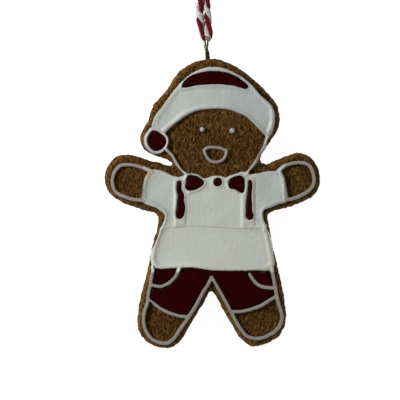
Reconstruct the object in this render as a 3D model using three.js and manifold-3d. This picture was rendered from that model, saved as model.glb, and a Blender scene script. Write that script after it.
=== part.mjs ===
// Gingerbread man tree ornament: a cast and painted figure with a wire eye and a knotted hanging cord.
// Millimetres. The figure lies on its flat back: +Z comes out of the decorated face, +Y runs to the
// head, and +X to the side away from the hat's bobble. The origin is under the middle of the figure.

import * as THREE from 'three';
import { mergeVertices } from 'three/addons/utils/BufferGeometryUtils.js';
import Module from 'manifold-3d';

const wasm = await Module();
wasm.setup();

// Driving dimensions: the cast slab and the relief on its face.
const slabThickness = 6.6;
const edgeRound = 1.1;
const floodHeight = 0.6;      // poured white fields
const ridgeHeight = 1.15;     // piped lines
const enamelHeight = 0.45;    // red fields
const enamelGap = 0.3;        // between a red field and the white round it
const dotHeight = 1;
const ridgeRound = 0.3;       // of the line's width
const floodRound = 0.25;
const enamelRound = 0.15;
const dotRound = 0.4;

// Widths of the piped lines.
const bodyLine = 1.2;         // hands and legs
const cheekLine = 0.85;
const mouthLine = 0.9;
const hatLine = 1.1;
const cuffLine = 1.2;
const shirtLine = 0.9;
const fineLine = 0.65;        // beside the braces and round the bow

// Wire eye and hanging cord.
const wireDiameter = 0.9;
const eyeRadius = 1.8;        // middle of the wire
const eyeCentre = new THREE.Vector3(-1.7, 44.6, 3.3);
const eyeTurn = THREE.MathUtils.degToRad(12);
const eyeLean = THREE.MathUtils.degToRad(3.5);
const shankDepth = 7;         // wire inside the head
const socketClearance = 0.3;
const headTop = 39.9;
const cordDiameter = 2.1;
const cordSides = 8;
const cordSteps = 30;
const tailSteps = 4;
const knotRadii = new THREE.Vector3(4.2, 4.4, 3);
const knotCentre = new THREE.Vector3(-5.9, 112.9, knotRadii.z);

// Baked crust: small upright pits, spread evenly over the bare fields.
const pitSpacing = 2.3;
const pitLength = 0.95;
const pitWidth = 0.5;
const pitDepth = 0.35;
const pitLengthSpread = 0.6;  // of the length
const pitJitter = 1.1;
const pitMargin = 0.75;       // kept clear of the icing
const pitSeed = 20;

// How finely the curves are drawn.
const curveStep = 0.6;
const curveTolerance = 0.08;
const capSegments = 3;
const discSides = 24;
const smallDiscSides = 16;
const wireSides = 12;
const ringSides = 8;
const knotSides = [12, 8];

const cutOverlap = 2;         // how far a cutter passes what it cuts
const cutReach = 200;         // a cutter wider than the whole figure
const scrapVolume = 1;
const weldDistance = 1e-4;

const crust = { color: 0x7a5227, roughness: 0.85 };
const white = { color: 0xc4ccc6, roughness: 0.45 };
const red = { color: 0x5c0a10, roughness: 0.25 };
const steel = { color: 0x8c8c84, roughness: 0.3, metalness: 1 };
const cord = { color: 0xb23a40, roughness: 0.9 };

// Outline of the slab, clockwise from the left of the crown, stretch by stretch.
const crown = [[-5.2, 38.8], [-0.1, 39.9], [4.7, 38.7], [8.9, 36.3], [13.1, 32.6], [16.7, 28.9],
  [19.4, 25.8], [20.2, 22.1], [19.1, 17.7]];
const rightNeck = [[16.4, 13.6], [14.3, 9.9], [14.9, 8.5], [17, 8.3]];
const rightArm = [[21.2, 10.2], [25.6, 11.5], [29.3, 9.9], [31.7, 6.7], [32.2, 3.2], [30.7, -0.7],
  [27.2, -2.9], [22.1, -4.8], [17.3, -6.2], [16.5, -7.5]];
const rightLeg = [[17, -10.3], [18.2, -17.2], [20, -23.8], [21.6, -33], [22.2, -37.6], [20.5, -42.1],
  [16.7, -45], [11.9, -46.4], [8.1, -43.6], [3.5, -36], [0.5, -30.2]];
const leftLeg = [[-0.6, -29.9], [-3.7, -35.1], [-7, -40.6], [-9.7, -44.9], [-13.7, -46.8], [-18.8, -45.5],
  [-22, -41.4], [-22, -34.9], [-19.6, -24.4], [-18.2, -18.7], [-16.2, -9.6], [-16.5, -6.8]];
const leftArm = [[-21.7, -5.1], [-27.8, -2.6], [-31.4, 0.9], [-32.2, 4.7], [-31, 8.6], [-27.2, 11],
  [-22.9, 10.7], [-18.7, 9.3], [-12.7, 7.5], [-11.7, 8.4], [-13.3, 9.8]];
const bobbleSide = [[-18.4, 11.3], [-21.2, 14.1], [-21.3, 17.3], [-19, 21.6], [-17.6, 25.8],
  [-13.3, 30.4], [-9.8, 35.7]];
const slabOutline = [...crown, ...rightNeck, ...rightArm, ...rightLeg, ...leftLeg, ...leftArm, ...bobbleSide];

// Poured white fields: the hat with its fur band, and the shirt in four parts that run into each other.
const hatField = [[-17.9, 20.3], [-17.3, 22.7], [-15.7, 25.2], [-12.4, 29.4], [-8.8, 33.6], [-4.6, 36.7],
  [-0.4, 37.5], [3.8, 37], [7.7, 35.2], [11.9, 32], [16.1, 27.6], [18.6, 24.5], [18.8, 20.9],
  [17.8, 17.3], [16.4, 15.8], [15.4, 17.6], [13.1, 20], [9.8, 22.6], [5.3, 24.5], [0.5, 24.9], [-4, 24.5],
  [-8.8, 22.4], [-12.4, 19.5], [-13.9, 17.9], [-16.3, 17.3]];
const leftSleeve = [[-18.7, 6.6], [-15.1, 6.3], [-11.8, 4.8], [-9.4, 4.1], [-9.4, -10.3], [-14.8, -10.3],
  [-14.2, -7.2], [-16.4, -4.9], [-21, -2.9], [-20.9, 0.5], [-20.4, 3.5]];
const chest = [[-10.3, 4.1], [-8.3, 5.5], [-6.4, 5.4], [-2.6, 4.1], [-0.7, 4.7], [2.9, 4.7], [4.1, 4.2],
  [7.1, 5.4], [9.5, 6.1], [11.9, 5.4], [13.1, -10.3], [-11.5, -10.3]];
const rightSleeve = [[10.7, 5.3], [13.4, 5.4], [17.3, 6.4], [20.3, 6.4], [21.5, 4.4], [22.2, 1.4],
  [22.7, -2.8], [18.5, -4.4], [15.4, -5.7], [15.5, -7.8], [16.7, -10.6], [10.7, -10.3]];
const skirt = [[-14.8, -10.2], [-6.7, -10.2], [0.8, -10.6], [16.1, -10.8], [17.6, -13.9], [18.5, -19],
  [18.8, -21.7], [17.6, -23.9], [8.3, -23.8], [-0.1, -23.6], [-5.8, -22.8], [-16.6, -23.1],
  [-18.2, -21.3], [-18.2, -18.6], [-16.4, -14.1]];

// Red fields.
const hatRed = [[-8.8, 31.5], [-8, 33.1], [-4.9, 35.3], [-0.4, 36.1], [4.4, 35.6], [8.3, 33.8],
  [10.9, 31.4], [10.1, 30.9], [6.2, 31.9], [0.8, 32.2], [-4.6, 32.1]];
const bobble = { centre: [-16.7, 15.4], red: 2.9, ring: 3.65 };
const bowLeft = [[-7.2, 4.8], [-5.2, 4.5], [-2.6, 3], [-2.8, 2.1], [-4.6, 0.9], [-6.8, 0.4], [-7.8, 1.1],
  [-7.6, 3.2]];
const bowRight = [[5.1, 2.9], [6.4, 4], [8.3, 4.7], [9.7, 3.8], [9.8, 1.5], [9.2, -0.3], [8.1, 0.1],
  [7.1, 0.8], [5.4, 1.6]];
const button = { centre: [1.6, 2.9], red: 1.2, ring: 1.9 };

// Braces: x, y and the width there.
const braceLeft = [[-9.8, 2.7, 1.1], [-9.8, 0.5, 1.35], [-9.4, -1.3, 1.5], [-9.3, -2.8, 1.9],
  [-9.3, -4.6, 2.2], [-9.6, -6.4, 2.3], [-9.7, -7.1, 2.1]];
const braceRight = [[11.3, 2.7, 1], [11.3, 0.5, 1], [11.1, -1.6, 1.1], [10.9, -4, 1.3], [11, -5.8, 1.4],
  [11.3, -7.3, 2.2]];

// Middle lines of the piping. The leg lines also bound the shorts.
const legLeft = [[-17.8, -22.9], [-18.4, -27.1], [-19.5, -32.5], [-20.4, -36.4], [-20.5, -39.7],
  [-19.3, -42.8], [-17.2, -44.7], [-14.3, -45.3], [-12, -44.4], [-9.7, -41.4], [-6.7, -36.5],
  [-3.4, -30.7], [-0.3, -25.5]];
const legRight = [[-0.3, -25.5], [2.5, -30.2], [5.6, -35.8], [8.3, -40.7], [10.3, -43.2], [13.1, -44.1],
  [16.4, -43.3], [19.5, -40.8], [20.9, -38.1], [20.6, -34.6], [19.3, -30], [18.3, -25.3], [18.1, -22.9]];
const pocketLeft = [[-9.8, -22.8], [-10.4, -24.4], [-11.6, -26.2], [-13.3, -27.6], [-15.7, -28.2],
  [-18.4, -28]];
const pocketRight = [[11, -24.8], [11.8, -26.4], [13.3, -27.8], [15.7, -28.6], [19, -28.8]];
const cuffLegLeft = [[-19.4, -32.2], [-17.6, -33.6], [-15.2, -35.3], [-12.2, -36.7], [-9.4, -37.4],
  [-7.1, -37.4]];
const cuffLegRight = [[5.6, -36], [8.3, -35.8], [11.3, -35.2], [14.3, -33.8], [16.7, -32.4], [19.7, -31]];
const cheekLeft = [[-14.3, 13.2], [-13.1, 11.8], [-11.5, 9.6], [-10.1, 7.5], [-8.9, 6.2], [-7.6, 5.3]];
const cheekRight = [[16.5, 16.7], [15.7, 14.3], [14.6, 11.9], [13.4, 9.5], [11.8, 7.3], [10.4, 5.6]];
const handLeft = [[-18.4, 6.1], [-20.5, 7], [-22.9, 7.8], [-25.6, 8.1], [-27.8, 7.8], [-29.3, 6.3],
  [-30, 4.1], [-29.9, 1.8], [-28.8, -0.2], [-26.3, -1.5], [-23.8, -2.3], [-20.8, -2.6]];
const handRight = [[19.4, 6.2], [21.2, 7.5], [23.6, 8.4], [26.2, 8.7], [28.3, 8.1], [29.7, 6.6],
  [30.5, 4.5], [30.4, 2.4], [29.4, 0.7], [27.1, -0.9], [24.5, -2], [22, -2.5]];
const mouthTop = [[-2.4, 12.4], [-1.5, 13.2], [0.5, 13.3], [2.9, 13.1], [4.4, 12.5]];
const mouthLow = [[-2.4, 12.4], [-1.8, 10.7], [-0.5, 9.3], [1.2, 8.8], [2.8, 9.4], [3.9, 11],
  [4.4, 12.5]];

// Each line of piping: its middle line and its width.
const piping = [
  ...[legLeft, legRight, pocketLeft, pocketRight, cuffLegLeft, cuffLegRight, handLeft, handRight]
    .map((points) => ({ width: bodyLine, points })),
  { width: cheekLine, points: cheekLeft },
  { width: cheekLine, points: cheekRight },
  // Hat: over the crown and down its ends, above the fur band, and along the band's lower edge.
  { width: hatLine, points: [[-16.7, 20.2], [-16.5, 21.6], [-15.4, 23.9], [-13.1, 26.9], [-10.9, 29.6],
    [-9.1, 32.3], [-6.7, 34.8], [-3.7, 36.3], [-0.4, 36.8], [2.9, 36.6], [6.8, 35.1], [10.6, 32.5],
    [14.3, 28.8], [17.7, 25.2], [18.1, 22.4], [17.5, 19.1], [16.2, 17.3]] },
  { width: fineLine, points: [[-10.3, 30.3], [-6.7, 31.1], [-2.2, 31.6], [3.8, 31.5], [8.3, 30.9],
    [11.9, 29.7]] },
  { width: hatLine, points: [[16.2, 17.3], [12.8, 20.8], [9.5, 23.3], [5.3, 25.1], [0.5, 25.5], [-4, 25.2],
    [-9.1, 23.1], [-13.1, 19.8], [-14.8, 18.2]] },
  // Sleeves: the cuffs and the lower edges down to the waist.
  { width: cuffLine, points: [[-19, 6], [-19.8, 3.6], [-20.2, 1.1], [-20.3, -2.2]] },
  { width: cuffLine, points: [[20.3, 5.8], [21.3, 3.2], [21.7, 0.5], [21.9, -2.4]] },
  { width: shirtLine, points: [[-20.3, -2.3], [-17.8, -3.4], [-15.4, -4.7], [-13.6, -6.7], [-13.9, -8.7],
    [-14.9, -11.2]] },
  { width: shirtLine, points: [[21.9, -2.4], [18.8, -3.5], [15.8, -4.7], [14.7, -6.1], [15, -8.4],
    [16.3, -11.5]] },
  // Band across the belly.
  { width: shirtLine, points: [[-14.9, -11.2], [-15.8, -13.8], [-16.9, -16.5], [-17.6, -19], [-17.4, -21.1],
    [-16.3, -22.5]] },
  { width: shirtLine, points: [[16.3, -11.5], [17.1, -14.5], [17.8, -18.1], [18.2, -21.4], [17.3, -23.1]] },
  { width: shirtLine, points: [[-16.9, -22.5], [-11.2, -22.4], [-5.5, -22.2], [-0.1, -23], [8.3, -23.2],
    [17.6, -23.1]] },
  { width: shirtLine, points: [[-14.9, -11.3], [-12.1, -11.1], [-3.7, -11], [6.8, -11.4], [16.1, -11.6]] },
  // Beside the braces.
  { width: fineLine, points: [[-11.2, 3.2], [-11.2, -2.5], [-11.5, -9.7]] },
  { width: fineLine, points: [[-8.5, 4.1], [-8.3, 1.1], [-7.4, -1.6], [-7.5, -9.7]] },
  { width: fineLine, points: [[10.4, 4.7], [10.2, 1.4], [9.5, -2.2], [9.3, -9.7]] },
  { width: fineLine, points: [[12.6, 3.8], [12.7, -2.5], [13.1, -9.7]] },
  // Round the bow tie.
  { width: fineLine, points: [[-8, 4.3], [-6.5, 5.2], [-4.3, 4.5], [-2.2, 3.3]] },
  { width: fineLine, points: [[4, 3.2], [6.2, 4.6], [8.3, 5.3], [10.2, 4.4]] },
  { width: fineLine, points: [[-8.1, 4.1], [-8.3, 2], [-8.1, 0.3], [-6.8, -0.2], [-4.6, 0.4], [-3.1, 1.2],
    [-1.9, 2.6]] },
  { width: fineLine, points: [[10.2, 4.1], [10.4, 2], [10, -0.1], [9, -0.9], [7.9, -0.4], [7.1, 0.3],
    [5.8, 0.8], [4.4, 2.3]] },
];

const eyes = [
  { name: 'eye_left', centre: [-3, 18.7], radius: 0.8 },
  { name: 'eye_right', centre: [6, 18.3], radius: 0.85 },
];

// The cord's two strands, from inside the wire eye to the knot: off the wire, down to the surface that
// the figure lies on, and along it.
const strandLeft = [[-1.85, 44.6, 3.3], [-2.6, 44.6, 3.3], [-3.45, 45, 3.3], [-3.85, 45.9, 3.2],
  [-3.8, 47.2, 3], [-3.5, 49, 2.4], [-3.4, 51.5, 1.6], [-3.6, 54.5, 1.2], [-4.1, 58, 1.1], [-4.9, 63, 1.1],
  [-6, 69, 1.1], [-7.2, 76, 1.1], [-8, 84, 1.1], [-8.3, 92, 1.1], [-8, 100, 1.1], [-7.3, 105, 1.2],
  [-7, 108.5, 1.6]];
const strandRight = [[-1.55, 44.6, 3.3], [-0.8, 44.6, 3.3], [0.05, 45, 3.3], [0.45, 45.9, 3.2],
  [0.35, 47.2, 3], [-0.3, 49, 2.4], [-0.9, 51.5, 1.6], [-1.15, 54.5, 1.2], [-1.45, 58, 1.1],
  [-1.6, 63, 1.1], [-1.9, 69, 1.1], [-2.3, 76, 1.1], [-2.8, 84, 1.1], [-3.4, 92, 1.1], [-4.1, 100, 1.1],
  [-4.6, 105, 1.2], [-4.7, 108.5, 1.6]];
const tails = [
  [[-6.9, 114.5, 2.2], [-8, 118.5, 1.15], [-8.8, 123, 1.1]],
  [[-4.9, 114.5, 2.2], [-4.4, 118, 1.15], [-3.4, 122, 1.1]],
];

// Where the shorts' red field ends, under the piping round it: the hem from right to left, then down the
// left leg, over the crotch and up the right leg.
const shortsEdge = [[18.3, -23.4], [8.3, -23.4], [-0.1, -23.1], [-5.8, -22.4], [-17.9, -22.8],
  [-18.4, -27.1], [-19.4, -32.2], [-15.2, -35.3], [-7.1, -37.4], [-3.4, -30.7], [-0.3, -25.5],
  [2.5, -30.2], [5.6, -35.9], [11.3, -35.2], [19.5, -31], [18.3, -25.3]];

// Curves. A line is a list of points in the plane of the face.

const vector = ([x, y]) => new THREE.Vector2(x, y);

function lineDistance(point, start, end) {
  const side = end.clone().sub(start);
  const along = THREE.MathUtils.clamp(point.clone().sub(start).dot(side) / side.lengthSq(), 0, 1);
  return point.distanceTo(start.clone().addScaledVector(side, along));
}

// Drops the points that a straight side would pass within the tolerance of.
function thin(points) {
  if (points.length < 3) return points;
  const first = points[0];
  const last = points[points.length - 1];
  const gaps = points.map((point) => lineDistance(point, first, last));
  const far = gaps.indexOf(Math.max(...gaps));
  if (gaps[far] < curveTolerance) return [first, last];
  return [...thin(points.slice(0, far + 1)).slice(0, -1), ...thin(points.slice(far))];
}

function spaced(points, closed, step = curveStep) {
  const corners = points.map(([x, y, width = 0]) => new THREE.Vector3(x, y, width));
  const curve = new THREE.CatmullRomCurve3(corners, closed, 'centripetal');
  return curve.getSpacedPoints(Math.ceil(curve.getLength() / step));
}

// A smooth open line through the points, with more points where it bends more.
function smoothLine(points) {
  return thin(spaced(points, false).map(({ x, y }) => new THREE.Vector2(x, y)));
}

// The same for a closed line, thinned in two halves because its ends meet.
function smoothLoop(points) {
  const dense = spaced(points, true).map(({ x, y }) => new THREE.Vector2(x, y));
  const half = Math.floor(dense.length / 2);
  return [...thin(dense.slice(0, half + 1)).slice(0, -1), ...thin(dense.slice(half)).slice(0, -1)];
}

function circle([x, y], radius, segments = discSides) {
  return Array.from({ length: segments }, (_, i) => {
    const angle = (2 * Math.PI * i) / segments;
    return new THREE.Vector2(x + radius * Math.cos(angle), y + radius * Math.sin(angle));
  });
}

// The closed line at a distance outside (or, below zero, inside) a closed line.
function grow(loop, distance) {
  const turn = Math.sign(THREE.ShapeUtils.area(loop));
  return loop.map((point, i) => {
    const along = loop[(i + 1) % loop.length].clone().sub(loop.at(i - 1)).normalize();
    return new THREE.Vector2(point.x + turn * distance * along.y, point.y - turn * distance * along.x);
  });
}

// The outline of a round-ended band along an open line. Its width is one number, or one for each point.
function band(line, width) {
  const last = line.length - 1;
  const half = (i) => (Array.isArray(width) ? width[i] : width) / 2;
  const sides = line.map((point, i) => {
    const along = line[Math.min(i + 1, last)].clone().sub(line[Math.max(i - 1, 0)]).normalize();
    return new THREE.Vector2(-along.y, along.x).multiplyScalar(half(i));
  });
  const roundEnd = (point, side) => Array.from({ length: capSegments - 1 }, (_, i) => (
    point.clone().add(side.clone().rotateAround(new THREE.Vector2(), (-Math.PI * (i + 1)) / capSegments))));
  return [
    ...line.map((point, i) => point.clone().add(sides[i])),
    ...roundEnd(line[last], sides[last]),
    ...line.map((point, i) => point.clone().sub(sides[i])).reverse(),
    ...roundEnd(line[0], sides[0].clone().negate()),
  ];
}

// A band through points that each give their own width, wider all round by `extra`.
function taperedBand(points, extra) {
  const dense = spaced(points, false, 2 * curveStep);
  return band(dense.map(({ x, y }) => new THREE.Vector2(x, y)), dense.map(({ z }) => z + 2 * extra));
}

function isInside(point, loop) {
  const crossings = loop.filter((start, i) => {
    const end = loop[(i + 1) % loop.length];
    if ((start.y > point.y) === (end.y > point.y)) return false;
    return start.x + ((end.x - start.x) * (point.y - start.y)) / (end.y - start.y) > point.x;
  });
  return crossings.length % 2 === 1;
}

function isClear(point, line, gap) {
  return line.slice(1).every((end, i) => lineDistance(point, line[i], end) >= gap);
}

// Solids. Each is closed, and the library joins and cuts them.

function solid(geometry) {
  const bare = geometry.clone();
  bare.deleteAttribute('normal');
  bare.deleteAttribute('uv');
  const merged = mergeVertices(bare, weldDistance);
  return new wasm.Manifold(new wasm.Mesh({
    numProp: 3,
    vertProperties: new Float32Array(merged.attributes.position.array),
    triVerts: new Uint32Array(merged.index.array),
  }));
}

function join(solids) {
  return solids.reduce((whole, next) => whole.add(next));
}

// A slab between two heights whose outline draws in by `round` over its top and bottom edges.
function slab(loop, low, high, round = 0, roundSegments = 1) {
  const geometry = new THREE.ExtrudeGeometry(new THREE.Shape(loop), {
    depth: high - low - 2 * round,
    bevelEnabled: round > 0,
    bevelThickness: round,
    bevelSize: round,
    bevelOffset: -round,
    bevelSegments: roundSegments,
  });
  return solid(geometry.translate(0, 0, low + round));
}

const belowFace = solid(new THREE.BoxGeometry(cutReach, cutReach, cutReach)
  .translate(0, 0, slabThickness - cutReach / 2));

// Relief on the face: it stands `height` proud, rounded at its top alone.
function relief(loop, height, round, roundSegments) {
  const low = slabThickness - 2 * round;
  return slab(loop, low, slabThickness + height, round, roundSegments).subtract(belowFace);
}

// A cutter through the whole relief.
function well(loop) {
  return slab(loop, slabThickness - cutOverlap, slabThickness + ridgeHeight + cutOverlap);
}

function tube(route, diameter, sides, steps) {
  const points = route.map((point) => new THREE.Vector3(...point));
  const curve = new THREE.CatmullRomCurve3(points, false, 'centripetal');
  const section = new THREE.Shape(circle([0, 0], diameter / 2, sides));
  return solid(new THREE.ExtrudeGeometry(section, { extrudePath: curve, steps }));
}

// The lines of the drawing, made once.
const outline = smoothLoop(slabOutline);
const lines = piping.map(({ points, width }) => ({ line: smoothLine(points), width }));
const whiteFields = [hatField, leftSleeve, chest, rightSleeve, skirt].map(smoothLoop);
const mouthLines = [mouthTop, mouthLow].map(smoothLine);
const shortsLoop = shortsEdge.map(vector);
const redFields = {
  hat_red: (extra) => grow(smoothLoop(hatRed), extra),
  bobble_red: (extra) => circle(bobble.centre, bobble.red + extra),
  bow_left: (extra) => grow(smoothLoop(bowLeft), extra),
  bow_right: (extra) => grow(smoothLoop(bowRight), extra),
  bow_button: (extra) => circle(button.centre, button.red + extra, smallDiscSides),
  brace_left: (extra) => taperedBand(braceLeft, extra),
  brace_right: (extra) => taperedBand(braceRight, extra),
};

// White icing: the poured fields, the piping and the two rings, with a well for each red field.
function whiteIcing() {
  const fields = whiteFields.map((loop) => relief(loop, floodHeight, floodRound));
  const ridges = lines.map(({ line, width }) => relief(band(line, width), ridgeHeight, ridgeRound * width));
  const rings = [bobble, button]
    .map(({ centre, ring }) => relief(circle(centre, ring), ridgeHeight, floodRound));
  const wells = Object.values(redFields).map((field) => well(field(enamelGap / 2)));
  return join([...fields, ...ridges, ...rings]).subtract(join(wells));
}

function mouth() {
  return join(mouthLines.map((line) => relief(band(line, mouthLine), ridgeHeight, ridgeRound * mouthLine)));
}

// The red cloth of the shorts, less the piping that crosses it: a pocket at each side and the rest.
function shorts() {
  const cloth = slab(shortsLoop, slabThickness, slabThickness + enamelHeight);
  const seams = lines.map(({ line, width }) => well(band(line, width + 2 * enamelGap)));
  const shirt = well(grow(whiteFields.at(-1), enamelGap));
  const middleX = (part) => (part.boundingBox().min[0] + part.boundingBox().max[0]) / 2;
  const fromLeft = cloth.subtract(join([...seams, shirt])).decompose()
    .filter((part) => part.volume() > scrapVolume)
    .sort((a, b) => middleX(a) - middleX(b));
  return ['pocket_left', 'shorts', 'pocket_right'].map((name, i) => [name, fromLeft[i]]);
}

// Middles of the crust's pits: a jittered grid, kept where the crust is bare.
function pitPlaces() {
  THREE.MathUtils.seededRandom(pitSeed);
  const spread = (range) => range * (THREE.MathUtils.seededRandom() - 0.5);
  const { min, max } = new THREE.Box2().setFromPoints(outline);
  const discs = [{ centre: bobble.centre, radius: bobble.ring }, ...eyes];
  const covers = [...whiteFields, shortsLoop, ...discs.map(({ centre, radius }) => circle(centre, radius))];
  const keptClear = [
    { line: [...outline, outline[0]], gap: edgeRound + pitLength / 2 },
    ...covers.map((loop) => ({ line: [...loop, loop[0]], gap: pitMargin })),
    ...lines.map(({ line, width }) => ({ line, gap: width / 2 + pitMargin })),
    ...mouthLines.map((line) => ({ line, gap: mouthLine / 2 + pitMargin })),
  ];
  const places = [];
  for (let y = min.y; y < max.y; y += pitSpacing) {
    for (let x = min.x; x < max.x; x += pitSpacing) {
      const spot = new THREE.Vector2(x + spread(pitJitter), y + spread(pitJitter));
      const length = pitLength * (1 + spread(pitLengthSpread));
      const bare = isInside(spot, outline) && !covers.some((loop) => isInside(spot, loop));
      if (bare && keptClear.every(({ line, gap }) => isClear(spot, line, gap))) places.push({ spot, length });
    }
  }
  return places;
}

// The cast slab: soft-edged, pitted, with the wire's socket.
function castSlab() {
  const pits = pitPlaces().map(({ spot, length }) => solid(new THREE.OctahedronGeometry(1)
    .scale(pitWidth / 2, length / 2, pitDepth)
    .translate(spot.x, spot.y, slabThickness)));
  const low = headTop - shankDepth - socketClearance - eyeCentre.y;
  const high = headTop + cutOverlap - eyeCentre.y;
  const socket = onWire(bar(wireDiameter / 2 + socketClearance, low, high));
  return slab(outline, 0, slabThickness, edgeRound, 2).subtract(join([...pits, socket]));
}

// A round bar along Y between two distances from the eye's middle.
function bar(radius, low, high) {
  return new THREE.CylinderGeometry(radius, radius, high - low, wireSides).translate(0, (low + high) / 2, 0);
}

function onWire(geometry) {
  return solid(geometry.rotateZ(eyeLean).translate(...eyeCentre));
}

function wireEye() {
  const ring = new THREE.TorusGeometry(eyeRadius, wireDiameter / 2, ringSides, discSides)
    .rotateY(Math.PI / 2 - eyeTurn);
  const shank = bar(wireDiameter / 2, headTop - shankDepth - eyeCentre.y, -eyeRadius);
  return onWire(ring).add(onWire(shank));
}

function knot() {
  const ball = solid(new THREE.SphereGeometry(1, ...knotSides).scale(...knotRadii).translate(...knotCentre));
  return join([ball, ...tails.map((route) => tube(route, cordDiameter, cordSides, tailSteps))]);
}

const group = new THREE.Group();

function place(name, shape, finish) {
  const { vertProperties, triVerts } = shape.getMesh();
  const geometry = new THREE.BufferGeometry();
  geometry.setAttribute('position', new THREE.BufferAttribute(vertProperties, 3));
  geometry.setIndex(new THREE.BufferAttribute(triVerts, 1));
  geometry.computeVertexNormals();
  const mesh = new THREE.Mesh(geometry, new THREE.MeshStandardMaterial(finish));
  mesh.name = name;
  group.add(mesh);
  return mesh;
}

const figure = [
  place('slab', castSlab(), crust),
  place('icing', whiteIcing(), white),
  place('mouth', mouth(), white),
  ...eyes.map(({ name, centre, radius }) => (
    place(name, relief(circle(centre, radius, smallDiscSides), dotHeight, dotRound, 2), white))),
  ...Object.entries(redFields).map(([name, field]) => (
    place(name, relief(field(-enamelGap / 2), enamelHeight, enamelRound), red))),
  ...shorts().map(([name, part]) => place(name, part, red)),
  place('wire_eye', wireEye(), steel),
];

place('cord_left', tube(strandLeft, cordDiameter, cordSides, cordSteps), cord);
place('cord_right', tube(strandRight, cordDiameter, cordSides, cordSteps), cord);
place('cord_knot', knot(), cord);

// The origin goes under the middle of the figure with its wire eye.
const extent = new THREE.Box3();
figure.forEach((mesh) => extent.expandByObject(mesh));
const middle = extent.getCenter(new THREE.Vector3());
group.position.set(-middle.x, -middle.y, -extent.min.z);

export default group;
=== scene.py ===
import math
import bpy
import numpy as np
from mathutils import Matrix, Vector
from mathutils.geometry import delaunay_2d_cdt


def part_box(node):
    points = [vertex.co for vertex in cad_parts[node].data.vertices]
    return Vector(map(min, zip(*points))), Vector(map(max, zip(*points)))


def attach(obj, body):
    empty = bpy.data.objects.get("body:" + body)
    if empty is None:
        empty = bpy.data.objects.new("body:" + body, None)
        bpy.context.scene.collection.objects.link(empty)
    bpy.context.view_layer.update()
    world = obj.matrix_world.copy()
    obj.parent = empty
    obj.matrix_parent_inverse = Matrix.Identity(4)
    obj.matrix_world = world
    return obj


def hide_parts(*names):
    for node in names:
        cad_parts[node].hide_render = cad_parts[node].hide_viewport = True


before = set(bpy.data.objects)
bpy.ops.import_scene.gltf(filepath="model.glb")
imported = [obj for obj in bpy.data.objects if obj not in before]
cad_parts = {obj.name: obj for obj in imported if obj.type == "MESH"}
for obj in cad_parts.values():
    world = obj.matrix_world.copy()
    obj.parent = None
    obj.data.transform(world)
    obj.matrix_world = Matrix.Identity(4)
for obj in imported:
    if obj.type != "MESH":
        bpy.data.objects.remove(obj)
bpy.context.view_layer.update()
print("frame:", len(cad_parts), "nodes")

mm = 0.001               # lengths below are in millimetres, as in the model's drawing
draw = np.random.default_rng(20)

studio = {
    "viewWidth": 120, "viewMiddle": (-3.675, -2.505), "viewHeight": 6.9,
    "cameraDistance": 1400, "sensor": 36,
    "floorSize": 3000, "floorColor": (0.4, 0.4, 0.397), "floorGlow": 0.92,
    "keyPower": 1.5, "keySize": 60, "keyDistance": 390, "keyTurn": 158, "keyRise": 32,
    "keyColor": (1.0, 0.985, 0.955),
    "skyColor": (0.93, 0.965, 1.0), "skyStrength": 0.62, "skyDark": (0.62, 0.93),
}


def plug(tree, socket, value):
    # Links a socket to another node's, or sets its plain value.
    if isinstance(value, bpy.types.NodeSocket):
        tree.links.new(value, socket)
    else:
        socket.default_value = value


def addNode(tree, kind, place=(0, 0), settings=None, **inputs):
    # A node with its plain settings and the values of its sockets, named without spaces.
    node = tree.nodes.new(kind)
    node.location = place
    for key, value in (settings or {}).items():
        setattr(node, key, value)
    sockets = {socket.name.replace(" ", ""): socket for socket in reversed(list(node.inputs))}
    for key, value in inputs.items():
        plug(tree, sockets[key], value)
    return node


def addMath(tree, operation, values, place=(0, 0), clamp=False):
    # The result of a sum whose terms are sockets or plain numbers.
    node = addNode(tree, "ShaderNodeMath", place, {"operation": operation, "use_clamp": clamp})
    for socket, value in zip(node.inputs, values):
        plug(tree, socket, value)
    return node.outputs[0]


def addObject(name, data):
    # A mesh, lamp or camera as an object in the scene.
    thing = bpy.data.objects.new(name, data)
    bpy.context.scene.collection.objects.link(thing)
    return thing


def aim(thing, place, target):
    # Puts a lamp or camera at a place and turns its -Z towards the target.
    thing.location = Vector(place) * mm
    thing.rotation_mode = "QUATERNION"
    thing.rotation_quaternion = (Vector(target) - Vector(place)).to_track_quat("-Z", "Y")


def makeCamera():
    # Straight above the middle of the view, with a lens as long as the view's width asks for.
    data = bpy.data.cameras.new("camera")
    data.sensor_width = studio["sensor"]
    data.lens = studio["sensor"] * studio["cameraDistance"] / studio["viewWidth"]
    data.clip_start, data.clip_end = 0.05, 20
    camera = addObject("camera", data)
    x, y = studio["viewMiddle"]
    aim(camera, (x, y, studio["viewHeight"] + studio["cameraDistance"]), (x, y, 0))
    bpy.context.scene.camera = camera


def makeSky():
    # Pale all round the horizon and dark overhead, so that nothing glares back at a camera above.
    world = bpy.data.worlds.new("studio")
    world.use_nodes = True
    bpy.context.scene.world = world
    tree = world.node_tree
    tree.nodes.clear()
    direction = addNode(tree, "ShaderNodeTexCoord", (-800, 0)).outputs["Generated"]
    height = addNode(tree, "ShaderNodeSeparateXYZ", (-600, 0), Vector=direction).outputs["Z"]
    low, high = studio["skyDark"]
    fade = addNode(tree, "ShaderNodeMapRange", (-400, 0), {"interpolation_type": "SMOOTHSTEP"},
                   Value=height, FromMin=low, FromMax=high, ToMin=studio["skyStrength"], ToMax=0.0)
    glow = addNode(tree, "ShaderNodeBackground", (-200, 0), Color=(*studio["skyColor"], 1),
                   Strength=fade.outputs["Result"])
    addNode(tree, "ShaderNodeOutputWorld", (0, 0), Surface=glow.outputs["Background"])


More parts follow.
